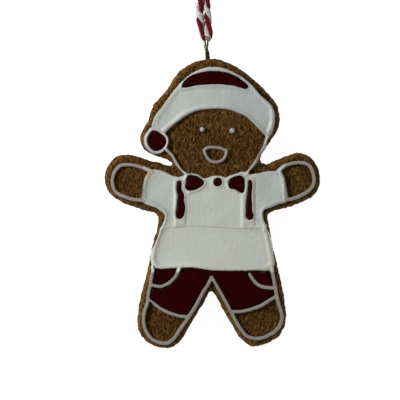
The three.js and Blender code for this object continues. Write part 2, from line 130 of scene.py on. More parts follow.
def makeFloor():
    # A wide sheet of paper that glows a little, so that it comes out white with hardly a shadow.
    half = studio["floorSize"] / 2 * mm
    mesh = bpy.data.meshes.new("floor")
    mesh.from_pydata([(-half, -half, 0), (half, -half, 0), (half, half, 0), (-half, half, 0)], [],
                     [(0, 1, 2, 3)])
    material = bpy.data.materials.new("floor paper")
    material.use_nodes = True
    paper = {"Base Color": (*studio["floorColor"], 1), "Roughness": 0.9, "Specular IOR Level": 0.1,
             "Emission Color": (1, 1, 1, 1), "Emission Strength": studio["floorGlow"]}
    for key, value in paper.items():
        material.node_tree.nodes["Principled BSDF"].inputs[key].default_value = value
    mesh.materials.append(material)
    addObject("floor", mesh)


def makeKey():
    # A round lamp to the left, aimed at the middle.
    data = bpy.data.lights.new("key", "AREA")
    data.shape = "DISK"
    data.size = studio["keySize"] * mm
    data.energy = studio["keyPower"]
    data.color = studio["keyColor"]
    turn, rise = math.radians(studio["keyTurn"]), math.radians(studio["keyRise"])
    level, reach = math.cos(rise), studio["keyDistance"]
    way = (math.cos(turn) * level, math.sin(turn) * level, math.sin(rise))
    aim(addObject("key", data), [reach * part for part in way], (0, 0, 0))


makeCamera()
makeSky()
makeFloor()
makeKey()
bpy.context.scene.view_settings.view_transform = "Standard"
print("studio: ready")


def addPiece(name, points, faceGroups, materials, slot, nodes, faceMaterials=None, **values):
    # One smooth mesh from points in mm, groups of faces, and named values for each point.
    mesh = bpy.data.meshes.new(name)
    corners = np.concatenate([group.ravel() for group in faceGroups]).astype(np.int32)
    sizes = np.concatenate([np.full(len(group), group.shape[1]) for group in faceGroups])
    mesh.vertices.add(len(points))
    mesh.vertices.foreach_set("co", (np.asarray(points) * mm).astype(np.float32).ravel())
    mesh.loops.add(len(corners))
    mesh.loops.foreach_set("vertex_index", corners)
    mesh.polygons.add(len(sizes))
    mesh.polygons.foreach_set("loop_start", (np.cumsum(sizes) - sizes).astype(np.int32))
    mesh.update(calc_edges=True)
    mesh.validate()
    for material in materials:
        mesh.materials.append(material)
    if faceMaterials is not None:
        mesh.polygons.foreach_set("material_index", faceMaterials.astype(np.int32))
    for key, value in values.items():
        kind, field = ("FLOAT", "value") if value.ndim == 1 else ("FLOAT_VECTOR", "vector")
        mesh.attributes.new(key, kind, "POINT").data.foreach_set(field, value.astype(np.float32).ravel())
    mesh.shade_smooth()
    piece = addObject(name, mesh)
    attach(piece, "root")
    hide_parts(*nodes)
    print(f"{name}: {sum(sizes - 2)} triangles")
    return piece


def sliceNode(node, height):
    # The closed outlines where a node's surface crosses a height, each with the solid on its left.
    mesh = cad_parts[node].data
    points = np.empty(3 * len(mesh.vertices), np.float32)
    mesh.vertices.foreach_get("co", points)
    points, merged = np.unique(points.reshape(-1, 3), axis=0, return_inverse=True)
    points = points.astype(float) / mm
    mesh.calc_loop_triangles()
    triangles = np.empty(3 * len(mesh.loop_triangles), np.int32)
    mesh.loop_triangles.foreach_get("vertices", triangles)
    triangles = merged.ravel()[triangles].reshape(-1, 3)
    above = points[triangles, 2] > height
    crossed = triangles[above.any(1) & ~above.all(1)]
    following = {}
    for triangle in crossed:
        sides = [(triangle[k], triangle[(k + 1) % 3]) for k in range(3)]
        up = next(side for side in sides if points[side[0], 2] <= height < points[side[1], 2])
        down = next(side for side in sides if points[side[1], 2] <= height < points[side[0], 2])
        following[tuple(sorted(down))] = tuple(sorted(up))
    loops = []
    while following:
        side = next(iter(following))
        chain = []
        while side in following:
            low, high = points[side[0]], points[side[1]]
            chain.append((low + (high - low) * (height - low[2]) / (high[2] - low[2]))[:2])
            side = following.pop(side)
        loops.append(np.array(chain))
    return loops


def signedArea(loop):
    # The shoelace sum, above zero for a loop that runs anticlockwise.
    return np.sum(loop[:, 0] * np.roll(loop[:, 1], -1) - np.roll(loop[:, 0], -1) * loop[:, 1]) / 2


def evenLoop(loop, spacing, softness):
    # Even steps along a closed line, then a moving average (a bell of width `softness`) rounds them.
    steps = np.linalg.norm(np.roll(loop, -1, 0) - loop, axis=1)
    marks = np.concatenate([[0], np.cumsum(steps)])
    count = max(12, int(round(marks[-1] / spacing)))
    closed = np.vstack([loop, loop[:1]])
    at = np.arange(count) * marks[-1] / count
    even = np.stack([np.interp(at, marks, closed[:, k]) for k in range(2)], 1)
    bell = np.exp(-0.5 * (np.minimum(at, marks[-1] - at) / softness) ** 2)
    shaped = np.fft.fft(bell / bell.sum())
    return np.real(np.fft.ifft(np.fft.fft(even, axis=0) * shaped[:, None], axis=0))


def evenLoops(loops, spacing, softness, smallest=0.25):
    # Scraps smaller than `smallest` square mm are dropped.
    return [evenLoop(loop, spacing, softness) for loop in loops if abs(signedArea(loop)) > smallest]


def leftNormals(loop):
    # Unit vectors to the left of the way from the corner before to the corner after.
    along = np.roll(loop, -1, 0) - np.roll(loop, 1, 0)
    return np.stack([-along[:, 1], along[:, 0]], 1) / np.linalg.norm(along, axis=1)[:, None]


def neighbours(loops):
    # For the corners of all loops in one list, which corner comes next and which one is before.
    sizes = np.array([len(loop) for loop in loops])
    starts, size = np.repeat(np.cumsum(sizes) - sizes, sizes), np.repeat(sizes, sizes)
    along = np.arange(len(starts)) - starts
    return starts + (along + 1) % size, starts + (along - 1) % size


def depthInside(points, loops):
    # Distance to the nearest side of the loops, positive on their left. Every third corner is tried
    # first, by |q|^2 - 2 p.q, then the corners beside the best, and the two sides there are measured.
    # Where both are as near, the sum of their unit normals says on which side the point is.
    corners = np.concatenate(loops)
    ahead, behind = neighbours(loops)
    few = corners[::3].astype(np.float32)
    square = (few ** 2).sum(1)
    blocks = np.array_split(points.astype(np.float32), max(1, len(points) // 4000))
    nearest = 3 * np.concatenate([np.argmin(square - 2 * block @ few.T, 1) for block in blocks])
    far = np.linalg.norm(points - corners[nearest], axis=1)
    for way in (ahead, behind):
        trial = nearest
        for _ in range(3):
            trial = way[trial]
            reach = np.linalg.norm(points - corners[trial], axis=1)
            nearest, far = np.where(reach < far, trial, nearest), np.minimum(reach, far)
    corner = corners[nearest]
    best, sign = None, None
    for start, end in ((corners[behind[nearest]], corner), (corner, corners[ahead[nearest]])):
        side = end - start
        part = np.clip(((points - start) * side).sum(1) / (side ** 2).sum(1), 0, 1)
        gap = points - start - part[:, None] * side
        far = np.linalg.norm(gap, axis=1)
        lean = (side[:, 0] * gap[:, 1] - side[:, 1] * gap[:, 0]) / np.linalg.norm(side, axis=1)
        if best is None:
            best, sign = far, lean
        else:
            tie = np.abs(far - best) < 1e-9
            sign = np.where(tie, sign + lean, np.where(far < best, lean, sign))
            best = np.minimum(far, best)
    return np.where(sign >= 0, best, -best)


def honeycomb(low, high, spacing):
    # Points in staggered rows that fill a box.
    rows = np.arange(low[1], high[1], spacing * math.sqrt(3) / 2)
    columns = np.arange(low[0], high[0], spacing)
    x, y = np.meshgrid(columns, rows)
    x = x + (np.arange(len(rows)) % 2)[:, None] * spacing / 2
    return np.stack([x.ravel(), y.ravel()], 1)


def fillLoops(loops, rings, spacing, sparse=None):
    # Triangles that fill the loops: their own corners first, then rings of corners at set depths,
    # then a honeycomb in the rest. `sparse` thins the honeycomb where it returns true.
    edge = np.concatenate(loops)
    inward = np.concatenate([leftNormals(loop) for loop in loops])
    points = [edge]
    for depth in rings:
        ring = edge + depth * inward
        points.append(ring[depthInside(ring, loops) > depth * 0.96])
    deepest = rings[-1] if len(rings) else 0
    grid = honeycomb(edge.min(0), edge.max(0), spacing)
    depth = depthInside(grid, loops)
    grid = grid[depth > deepest + spacing * 0.6]
    if sparse is not None:
        thin = sparse(grid)
        cell = np.floor(grid / (5 * spacing)).astype(int)
        _, keep = np.unique(cell, axis=0, return_index=True)
        kept = np.zeros(len(grid), bool)
        kept[keep] = True
        grid = grid[~thin | kept]
    points.append(grid)
    points = np.concatenate(points)
    sides = np.stack([np.arange(len(edge)), neighbours(loops)[0]], 1)
    made = delaunay_2d_cdt(points.tolist(), sides.tolist(), [], 0, 1e-7, True)
    if len(made[0]) != len(points):
        print("  corners added:", len(made[0]) - len(points))
    points = np.array([tuple(point) for point in made[0]])
    faces = np.array(made[2])
    middles = points[faces].mean(1)
    return points, faces[depthInside(middles, loops) > 0], sides


def quadStrips(index):
    # Quads between the rows of an index grid whose rows are closed rings.
    step = np.roll(index, -1, 1)
    return np.stack([index[:-1], index[1:], step[1:], step[:-1]], -1).reshape(-1, 4)


def smoothStep(value, low, high):
    # 0 up to `low`, 1 from `high`, and 3t^2 - 2t^3 between them.
    t = np.clip((value - low) / (high - low), 0, 1)
    return t * t * (3 - 2 * t)


def ripple(points, size, seed):
    # Smooth unevenness, mostly between -1 and 1: a quarter of the sum of seven sine waves in random
    # directions, with lengths near `size`.
    waves = np.random.default_rng(seed)
    turn = waves.uniform(0, 2 * np.pi, 7)
    length = size * waves.uniform(0.7, 1.6, 7)
    phase = waves.uniform(0, 2 * np.pi, 7)
    across = points[:, 0, None] * np.cos(turn) + points[:, 1, None] * np.sin(turn)
    return np.sin(across * 2 * np.pi / length + phase).sum(1) / 4


def dome(depth, radius):
    # Height of a round shoulder, from 0 at the edge to 1 at `radius` in from it.
    return np.sqrt(1 - (1 - np.clip(depth / radius, 0, 1)) ** 2)


def fade(value, start, reach):
    # 1 up to `start`, then falling as exp(-gap / reach).
    return np.exp(-np.maximum(value - start, 0) / reach)


def hill(value, middle, width, power=2):
    # 1 at the middle, falling on both sides as exp(-(gap / width)^power).
    return np.exp(-((value - middle) / width) ** power)


def unit(rows, least=0.0):
    # Rows scaled to length 1.
    return rows / (np.linalg.norm(rows, axis=1)[:, None] + least)


def roundTurn(count):
    # Angles in even steps round a circle.
    return np.arange(count) * 2 * np.pi / count


# The surface detail that several materials share is in node groups, which only put out masks and normals.

def startGroup(name, inputs, output, kind):
    # An empty node group with one output, and its two ends. Inputs with no value of their own are vectors.
    tree = bpy.data.node_groups.new(name, "ShaderNodeTree")
    for key, value in inputs.items():
        socketKind = "NodeSocketVector" if value is None else "NodeSocketFloat"
        socket = tree.interface.new_socket(key, in_out="INPUT", socket_type=socketKind)
        if value is not None:
            socket.default_value = value
    tree.interface.new_socket(output, in_out="OUTPUT", socket_type=kind)
    return tree, tree.nodes.new("NodeGroupInput").outputs, tree.nodes.new("NodeGroupOutput").inputs


def makeUnevenGroup():
    # Cloudy mask from 0 to 1: noise of a given size in mm, pulled apart round its middle.
    tree, given, out = startGroup("uneven tone", {"Place": None, "Size": 2.0, "Contrast": 2.0}, "Mask",
                                  "NodeSocketFloat")
    scale = addMath(tree, "DIVIDE", (1 / mm, given["Size"]))
    noise = addNode(tree, "ShaderNodeTexNoise", Vector=given["Place"], Scale=scale, Detail=3.0,
                    Roughness=0.6)
    shifted = addMath(tree, "SUBTRACT", (noise.outputs["Fac"], 0.5))
    spread = addMath(tree, "MULTIPLY_ADD", (shifted, given["Contrast"], 0.5), clamp=True)
    tree.links.new(spread, out["Mask"])
    return tree


def makeGrainGroup():
    # Normal of a fine rough skin: two sizes of noise, the second a third of the first, as bumps.
    tree, given, out = startGroup("fine grain", {"Place": None, "Size": 0.4, "Height": 0.03, "Extra": 0.0},
                                  "Normal", "NodeSocketVector")
    scale = addMath(tree, "DIVIDE", (1 / mm, given["Size"]))
    finer = addMath(tree, "MULTIPLY", (3.0, scale))
    coarse = addNode(tree, "ShaderNodeTexNoise", Vector=given["Place"], Scale=scale, Detail=2.0)
    fine = addNode(tree, "ShaderNodeTexNoise", Vector=given["Place"], Scale=finer, Detail=2.0)
    both = addMath(tree, "MULTIPLY_ADD", (fine.outputs["Fac"], 0.4, coarse.outputs["Fac"]))
    total = addMath(tree, "ADD", (both, given["Extra"]))
    depth = addMath(tree, "MULTIPLY", (mm, given["Height"]))
    bump = addNode(tree, "ShaderNodeBump", Strength=1.0, Distance=depth, Height=total)
    tree.links.new(bump.outputs["Normal"], out["Normal"])
    return tree


unevenGroup = makeUnevenGroup()
grainGroup = makeGrainGroup()


class Finish:
    # A material in the making: its Principled shader, object coordinates, and short ways to add nodes.
    def __init__(self, name, roughness, specular):
        self.material = bpy.data.materials.new(name)
        self.material.use_nodes = True
        self.tree = self.material.node_tree
        self.shader = self.tree.nodes["Principled BSDF"]
        self.shader.inputs["Roughness"].default_value = roughness
        self.shader.inputs["Specular IOR Level"].default_value = specular
        self.place = self.add("ShaderNodeTexCoord").outputs["Object"]

    def spot(self):
        # Nodes stand in columns of four, from right to left.
        column, row = divmod(len(self.tree.nodes), 4)
        return -260 * column - 300, 240 - 200 * row

    def add(self, kind, settings=None, **inputs):
        return addNode(self.tree, kind, self.spot(), settings, **inputs)

    def group(self, tree, **inputs):
        return self.add("ShaderNodeGroup", {"node_tree": tree}, **inputs).outputs[0]

    def attribute(self, name, output="Fac"):
        return self.add("ShaderNodeAttribute", {"attribute_name": name}).outputs[output]

    def stretched(self, source, scale):
        return self.add("ShaderNodeMapping", Vector=source, Scale=scale).outputs["Vector"]

    def clouds(self, size, contrast, scale=None):
        place = self.stretched(self.place, scale) if scale else self.place
        return self.group(unevenGroup, Place=place, Size=size, Contrast=contrast)

    def noise(self, place, scale, detail, roughness=0.5):
        return self.add("ShaderNodeTexNoise", Vector=place, Scale=scale, Detail=detail,
                        Roughness=roughness).outputs["Fac"]

    def grain(self, size, height, place=None, extra=0.0):
        return self.group(grainGroup, Place=place or self.place, Size=size, Height=height, Extra=extra)

    def ramp(self, value, low, high, toLow=0.0, toHigh=1.0):
        return self.add("ShaderNodeMapRange", {"interpolation_type": "SMOOTHSTEP"}, Value=value, FromMin=low,
                        FromMax=high, ToMin=toLow, ToMax=toHigh).outputs["Result"]

    def math(self, operation, first, second):
        return addMath(self.tree, operation, (first, second), self.spot())

    def times(self, first, second):
        return self.math("MULTIPLY", first, second)

    def mix(self, mask, first, second, kind="MIX"):
        node = self.add("ShaderNodeMix", {"data_type": "RGBA", "blend_type": kind})
        for socket, value in zip((node.inputs[0], node.inputs[6], node.inputs[7]), (mask, first, second)):
            plug(self.tree, socket, (*value, 1) if isinstance(value, tuple) else value)
        return node.outputs[2]

    def tinted(self, mask, color, tint):
        # The colour, multiplied by a tint where the mask is 1.
        return self.mix(mask, color, self.mix(1.0, color, tint, "MULTIPLY"))

    def set(self, **values):
        # Links the shader's sockets, named without spaces, and hands the material over.
        sockets = {socket.name.replace(" ", ""): socket for socket in self.shader.inputs}
        for key, value in values.items():
            self.tree.links.new(value, sockets[key])
        return self.material


def smoothRoute(route, spacing):
    # A curve through the route's points, each stretch a cubic that leaves with the slope of its
    # neighbours, then walked in even steps.
    route = np.asarray(route, float)
    ends = np.vstack([2 * route[0] - route[1], route, 2 * route[-1] - route[-2]])
    before, start, end, after = ends[:-3], ends[1:-2], ends[2:-1], ends[3:]
    t = np.linspace(0, 1, 24, endpoint=False)[:, None, None]
    curve = start + 0.5 * t * (end - before + t * (2 * before - 5 * start + 4 * end - after
                                                   + t * (3 * start - before - 3 * end + after)))
    curve = np.vstack([curve.transpose(1, 0, 2).reshape(-1, 3), route[-1:]])
    marks = np.concatenate([[0], np.cumsum(np.linalg.norm(np.diff(curve, axis=0), axis=1))])
    at = np.linspace(0, marks[-1], int(marks[-1] / spacing) + 1)
    return np.stack([np.interp(at, marks, curve[:, k]) for k in range(3)], 1)


def smoothed(values, steps):
    # Moving average of a row of numbers or points with a bell `steps` wide, the ends held.
    bell = np.exp(-0.5 * (np.arange(-3 * steps, 3 * steps + 1) / steps) ** 2)
    if values.ndim > 1:
        return np.stack([smoothed(column, steps) for column in values.T], 1)
    return np.convolve(np.pad(values, 3 * steps, mode="edge"), bell / bell.sum(), mode="valid")


def pathFrame(path, flat=None):
    # Unit vectors across a path and up from it: level across it, or else carried along from `flat` by
    # taking out the part that points along the path.
    along = unit(np.gradient(path, axis=0))
    if flat is None:
        across = np.cross(along, (0, 0, 1))
    else:
        across = flat - (along @ flat)[:, None] * along
    across = unit(across)
    return across, np.cross(across, along)


def spokes(across, up, count, start=0.0):
    # For each place on a path, unit vectors round it: cos a across + sin a up.
    angle = start + roundTurn(count)[:, None]
    return np.cos(angle) * across[:, None] + np.sin(angle) * up[:, None]


def tube(centres, across, up, radii):
    # Rings round a path, centre + radius times a spoke, with a fan over each end.
    rings, sides = radii.shape
    points = (centres[:, None] + radii[..., None] * spokes(across, up, sides)).reshape(-1, 3)
    index = np.arange(rings * sides).reshape(rings, sides)
    step = np.roll(index, -1, 1)
    first, last = np.full(sides, len(points)), np.full(sides, len(points) + 1)
    caps = np.vstack([np.stack([first, index[0], step[0]], 1), np.stack([last, step[-1], index[-1]], 1)])
    return np.vstack([points, centres[:1], centres[-1:]]), quadStrips(index), caps


def joinTubes(tubes):
    # Several tubes as one set of points with its quads and end triangles.
    points, quads, caps = zip(*tubes)
    shift = np.cumsum([0] + [len(part) for part in points[:-1]])
    quads, caps = (np.vstack([part + start for part, start in zip(faces, shift)]) for faces in (quads, caps))
    return np.vstack(points), quads, caps


def hairs(roots, headings, lengths, thickness, curl):
    # Thin closed square tubes that leave their roots along the headings and bend aside:
    # centre = root + length (t heading + t^2 bend).
    count, rings = len(roots), 5
    t = np.linspace(0, 1, rings)
    bend = draw.normal(0, curl, (count, 3))
    centres = roots[:, None] + lengths[:, None, None] * (
        t[:, None] * headings[:, None] + (t ** 2)[:, None] * bend[:, None])
    side = unit(np.cross(headings, draw.normal(size=(count, 3))))
    other = np.cross(headings, side)
    wide = thickness[:, None] * (1 - 0.6 * t)
    points = centres[:, :, None] + wide[..., None, None] * spokes(side, other, 4, np.pi / 4)[:, None]
    points[..., 2] = np.maximum(points[..., 2], 0.02)
    index = np.arange(rings * 4).reshape(rings, 4)
    quads = np.vstack([quadStrips(index)[:, [0, 3, 2, 1]], index[:1, ::-1], index[-1:]])
    shift = np.arange(count)[:, None, None] * rings * 4
    return points.reshape(-1, 3), (quads[None] + shift).reshape(-1, 4)


# The hanging cord is doubled through the wire eye: each strand is a red and a white ply, twisted.
# `twist` is the red ply's angle in degrees and `swell` the plies' thickness, each at a place along Y.
cord = {
    "spacing": 0.16, "sides": 26, "plySize": ((0.64, 0.7), (0.74, 1.1)), "plyOffset": 0.49, "pitch": 7.6,
    "yarns": 7, "yarnDepth": 0.035, "yarnTwist": 1.9, "lumps": 0.05, "lumpPitch": 2.1,
    "fuzz": 150, "fuzzReach": (1.1, 1.0), "hairWidth": 0.022, "brush": 60, "brushWidth": 0.05,
    "fuzzLength": (0.3, 1), "fuzzCurl": 0.35, "brushLength": (0.7, 1.6), "brushCurl": 0.3, "snagCurl": 0.2,
    "brushSpread": 0.35, "knotTop": 108.5,
    "strands": {
        "left": {
            "route": [(-1.9, 45.45, 3.0), (-2.5, 45.85, 2.95), (-2.85, 46.5, 2.85), (-3.05, 47.5, 2.7),
                      (-3.3, 48.5, 2.45), (-3.5, 49.7, 2.15), (-3.6, 51, 1.8), (-3.66, 52.8, 1.5),
                      (-3.8, 54.5, 1.3),
                      (-3.45, 57.5, 1.2), (-4.6, 63, 1.15), (-6, 69, 1.15), (-7.2, 76, 1.15), (-8, 84, 1.15),
                      (-8.3, 92, 1.15), (-8, 100, 1.15), (-7.3, 105, 1.2), (-7, 108.5, 1.6)],
            "twist": [(45.3, 90), (49.1, 90), (50.1, 104), (51.1, 145), (51.8, 180), (52.7, 245),
                      (53.3, 300), (54.5, 376), (55.7, 414), (56.9, 448)],
            "swell": [(45.6, 0.6), (46.4, 0.62), (47.6, 0.78), (49.1, 0.93), (51, 1.08), (56, 1.05),
                      (60, 1.0)],
            "tail": [(-6.9, 114.5, 2.6), (-8, 118.5, 1.3), (-8.8, 123, 1.1)],
        },
        "right": {
            "route": [(-1.9, 45.45, 3.0), (-1.3, 45.65, 2.95), (-1.05, 46.35, 2.85), (-1.02, 47.5, 2.7),
                      (-1.08, 48.5, 2.45), (-1.25, 50.3, 2.0), (-1.4, 52.9, 1.5), (-1.5, 55, 1.25),
                      (-1.5, 57.5, 1.2), (-1.6, 63, 1.15), (-1.9, 69, 1.15), (-2.3, 76, 1.15),
                      (-2.8, 84, 1.15), (-3.4, 92, 1.15), (-4.1, 100, 1.15), (-4.6, 105, 1.2),
                      (-4.7, 108.5, 1.6)],
            "twist": [(45.3, -110), (45.8, -80), (46.6, -28), (47.9, 8), (49.1, 45), (50.3, 80), (51.3, 100),
                      (52.4, 135), (53.3, 182), (53.9, 245), (54.8, 312), (56.0, 386), (57.2, 428)],
            "swell": [(45.3, 0.75), (45.9, 0.95), (47.5, 1.12), (49.7, 1.1), (51.5, 0.98), (53, 0.9)],
            "tail": [(-4.9, 114.5, 2.6), (-4.4, 118, 1.3), (-3.4, 122, 1.1)],
        },
    },
    "knotMiddle": (-5.85, 112.6, 2.75), "knotSpan": 2.15, "knotRise": 1.15, "knotGap": 0.62,
    "knotSwell": 0.74,
    # Loose yarn ends that stand off the left strand: place, heading, length, thickness.
    "snags": [((-4.95, 56.3, 1.6), (-0.1, 0.95, 0.1), 0.9, 0.15),
              ((-4.75, 57.2, 1.5), (-0.5, -0.8, 0.1), 0.5, 0.13),
              ((-4.65, 50.2, 2.2), (-0.1, -0.95, 0), 0.7, 0.12),
              ((-2.75, 57, 1.6), (0.3, 0.9, 0.2), 0.7, 0.07)],
    # Tones of each ply: in the streaks, between them, and where it is worn.
    "plies": {"red": [(0.09, 0.003, 0.007), (0.19, 0.007, 0.014), (0.05, 0.003, 0.004)],
              "white": [(0.36, 0.335, 0.31), (0.63, 0.625, 0.585), (0.43, 0.38, 0.35)]},
}


def cordMaterial(ply, tones):
    # Cotton: streaks along the fibres, whose place comes from the twist attribute, and a soft sheen.
    finish = Finish("cord " + ply, 0.85, 0.05)
    fibre = finish.attribute("twist", "Vector")
    streaks = finish.noise(finish.stretched(fibre, (9, 9, 0.9)), 1.0, 3.0)
    clouds = finish.clouds(1.6, 3.0)
    dark, pale, worn = tones
    color = finish.mix(finish.ramp(streaks, 0.34, 0.62), dark, pale)
    color = finish.mix(finish.times(clouds, 0.45), color, worn)
    finish.shader.inputs["Sheen Weight"].default_value = 0.04
    grain = finish.grain(0.12, 0.09, finish.stretched(fibre, (0.001, 0.001, 0.0002)))
    return finish.set(BaseColor=color, Normal=grain)


def twistAngle(path, marks):
    # Angle of the red ply in radians: read off the marks near the eye, then growing evenly with length.
    heights, angles = np.array(marks, float).T
    angle = np.interp(path[:, 1], heights, angles)
    beyond = np.argmax(path[:, 1] > heights[-1])
    angle[beyond:] = angles[-1] + np.arange(len(path) - beyond) * cord["spacing"] * 360 / cord["pitch"]
    return np.radians(smoothed(angle, 4))


def knotRoute(strand, gap):
    # The doubled cord winds one and a half times round a ring, in and out of it, as an overhand knot does:
    # distance span + rise cos(3t + c) from the middle and height rise sin(3t + c).
    t = np.radians(np.linspace(-45, 225, 16))
    wave = 3 * t + np.radians(135)
    reach = cord["knotSpan"] + cord["knotRise"] * np.cos(wave) + gap
    winding = np.stack([reach * np.cos(2 * t), reach * np.sin(2 * t), cord["knotRise"] * np.sin(wave)], 1)
    return np.vstack([strand["route"], cord["knotMiddle"] + winding, strand["tail"]])


def plies(path, phase, swell, tail):
    # Two oval tubes wound round the path, half a turn apart.
    # Each one's centre = path + offset (cos f across + sin f up).
    # Each has low yarn ridges that wind the other way, and the tail's end is rounded off.
    across, up = pathFrame(path)
    angle = roundTurn(cord["sides"])
    length = np.arange(len(path)) * cord["spacing"]
    yarn = angle[None] + (cord["yarnTwist"] * length)[:, None]
    ridges = cord["yarnDepth"] * (np.abs(np.cos(cord["yarns"] * yarn / 2)) - 1)
    parts, fibres = [], []
    for half, (thick, wide) in zip((0, np.pi), cord["plySize"]):
        turn = (phase + half)[:, None]
        centres = path + cord["plyOffset"] * swell[:, None] * (np.cos(turn) * across + np.sin(turn) * up)
        oval = 1 / np.sqrt((np.cos(angle - turn) / thick) ** 2 + (np.sin(angle - turn) / wide) ** 2)
        uneven = np.sin(length * cord["lumpPitch"] + half)[:, None] * np.sin(angle * 2 + length[:, None])
        radii = oval * swell[:, None] * (1 + cord["lumps"] * uneven) + ridges
        if tail:
            radii = radii * np.sqrt(np.clip((length[-1] - length) / 0.5, 0.03, 1))[:, None]
        part = tube(centres, across, up, radii)
        part[0][:, 2] = np.maximum(part[0][:, 2], 0.01)
        place = np.stack([thick * np.cos(yarn), thick * np.sin(yarn),
                          np.repeat(length[:, None], len(angle), 1) + 40 * half], -1).reshape(-1, 3)
        parts.append(part)
        fibres.append(np.vstack([place, place[:1], place[-1:]]))
    return parts, fibres


def fuzzOn(parts, count, reach):
    # Stray fibres with their roots on the plies and their headings half along, half off the surface.
    roots, headings = [], []
    for points, quads, _ in parts:
        corner = points[quads[draw.integers(0, len(quads), count)]]
        side, run = corner[:, 2] - corner[:, 0], corner[:, 1] - corner[:, 0]
        out = unit(np.cross(run, side), 1e-9)
        roots.append(corner.mean(1))
        headings.append(0.8 * unit(run, 1e-9) * draw.choice([-1, 1], (count, 1)) + 0.45 * out)
    roots, headings = np.vstack(roots), np.vstack(headings)
    lengths = draw.uniform(*cord["fuzzLength"], len(roots)) * reach
    widths = np.full(len(roots), cord["hairWidth"])
    points, sides = hairs(roots, headings, lengths, widths, cord["fuzzCurl"])
    return points, sides, np.repeat(np.arange(len(parts)) % 2, len(sides) // len(parts))


def brushOn(path):
    # The frayed end of a tail: short fibres that spread out from the path's last point.
    count, spread = cord["brush"], cord["brushSpread"]
    tip = path[-1] + draw.normal(0, spread, (count, 3))
    tip[:, 2] = np.abs(tip[:, 2])
    heading = path[-1] - path[-6]
    heading = heading / np.linalg.norm(heading) + draw.normal(0, spread, (count, 3))
    widths, lengths = np.full(count, cord["brushWidth"]), draw.uniform(*cord["brushLength"], count)
    points, sides = hairs(tip - 0.4 * heading, heading, lengths, widths, cord["brushCurl"])
    return points, sides, np.arange(len(sides)) * 2 // len(sides)


def addCordPiece(name, node, parts, fibres, extra, materials):
    # Plies and loose fibres as one piece, the plies in turns red and white. `extra` holds the fibres, with
    # the colour of each face.
    points, quads, caps = joinTubes(parts)
    shift = len(points) + np.cumsum([0] + [len(hair) for hair, _, _ in extra[:-1]])
    faces = np.vstack([quads] + [sides + start for (_, sides, _), start in zip(extra, shift)])
    points = np.vstack([points] + [hair for hair, _, _ in extra])
    fibre = np.vstack(fibres)
    fibre = np.vstack([fibre, np.zeros((len(points) - len(fibre), 3))])
    owner = [np.full(len(part[1]), k % 2) for k, part in enumerate(parts)] + [color for _, _, color in extra]
    owner += [np.full(len(part[2]), k % 2) for k, part in enumerate(parts)]
    owner = np.concatenate(owner)
    return addPiece(name, points, [faces, caps], materials, "cord", [node], owner, twist=fibre)


def strandPath(strand, gap):
    # A strand's path with the angle and thickness of its plies along it, and where the knot begins.
    path = smoothRoute(knotRoute(strand, gap), cord["spacing"])
    phase = twistAngle(path, strand["twist"])
    beyond = int(np.argmax(path[:, 1] > cord["knotTop"]))
    swell = np.interp(path[:, 1], *np.array(strand["swell"]).T)
    tight = (1 - cord["knotSwell"]) * fade(np.arange(len(path) - beyond) * cord["spacing"], 0, 1.5)
    swell[beyond:] = cord["knotSwell"] + tight
    out = np.argmax(path[:, 1] > strand["tail"][0][1] + 1)
    swell[out:] = np.minimum(1, swell[out:] + 0.06 * np.arange(len(path) - out))
    return smoothed(path, 2), phase, smoothed(swell, 4), beyond


def makeCords(materials):
    # Each strand up to the knot is a piece of its own, and the knot and both tails are one more.
    strands, knotParts, knotFibres, ends = [], [], [], []
    for side, strand in cord["strands"].items():
        *walk, beyond = strandPath(strand, cord["knotGap"] * (-1 if side == "left" else 1))
        parts, fibres = plies(*(row[:beyond + 1] for row in walk), False)
        extra = [fuzzOn(parts, cord["fuzz"], cord["fuzzReach"][0])]
        if side == "left":
            snags = (np.array(column, float) for column in zip(*cord["snags"]))
            hair, sides = hairs(*snags, cord["snagCurl"])
            extra.append((hair, sides, np.ones(len(sides))))
        piece = addCordPiece(f"cord_strand_{side}", f"cord_{side}", parts, fibres, extra, materials)
        strands.append((piece, walk[0][:beyond + 1]))
        parts, fibres = plies(*(row[beyond:] for row in walk), True)
        knotParts += parts
        knotFibres += fibres
        ends.append(brushOn(walk[0]))
    extra = [fuzzOn(knotParts, cord["fuzz"] // 3, cord["fuzzReach"][1]), *ends]
    knot = addCordPiece("cord_knot_tied", "cord_knot", knotParts, knotFibres, extra, materials)


makeCords([cordMaterial(ply, tones) for ply, tones in cord["plies"].items()])
print("cord: made")


# The eye is one length of wire: a shank out of the head and a ring that comes back to it.
wire = {
    "radius": 0.44, "shankRadius": 0.68, "shankFoot": (-0.9, 33.6, 3.3), "shankTop": (-1.5, 41.9, 3.3),
    "neck": (41.5, 43.5), "ringRadius": 1.85, "ringMiddle": (-1.85, 44.65, 3.3), "ringTurn": 11.5,
    "ringSpan": (22, 352), "spacing": 0.12, "sides": 20, "dents": 0.03, "stainTop": 43, "stainFade": 1.6,
    "dull": (0.14, 0.14, 0.105), "bright": (0.29, 0.29, 0.245), "stain": (0.026, 0.018, 0.008),
}


def wireMaterial():
    # Drawn steel, dulled in patches, with brown paint round the foot of the shank.
    finish = Finish("eye wire", 0.4, 0.2)
    clouds = finish.clouds(0.7, 3.0)
    stain = finish.ramp(finish.math("ADD", finish.attribute("stain"), finish.times(clouds, 0.35)), 0.55, 0.8)
    steel = finish.mix(clouds, wire["dull"], wire["bright"])
    return finish.set(
        BaseColor=finish.mix(stain, steel, wire["stain"]),
        Metallic=finish.ramp(stain, 0.0, 1.0, 0.95, 0.0),
        Roughness=finish.math("MAXIMUM", finish.ramp(clouds, 0.2, 0.8, 0.26, 0.42), stain),
        Normal=finish.grain(0.3, 0.03))


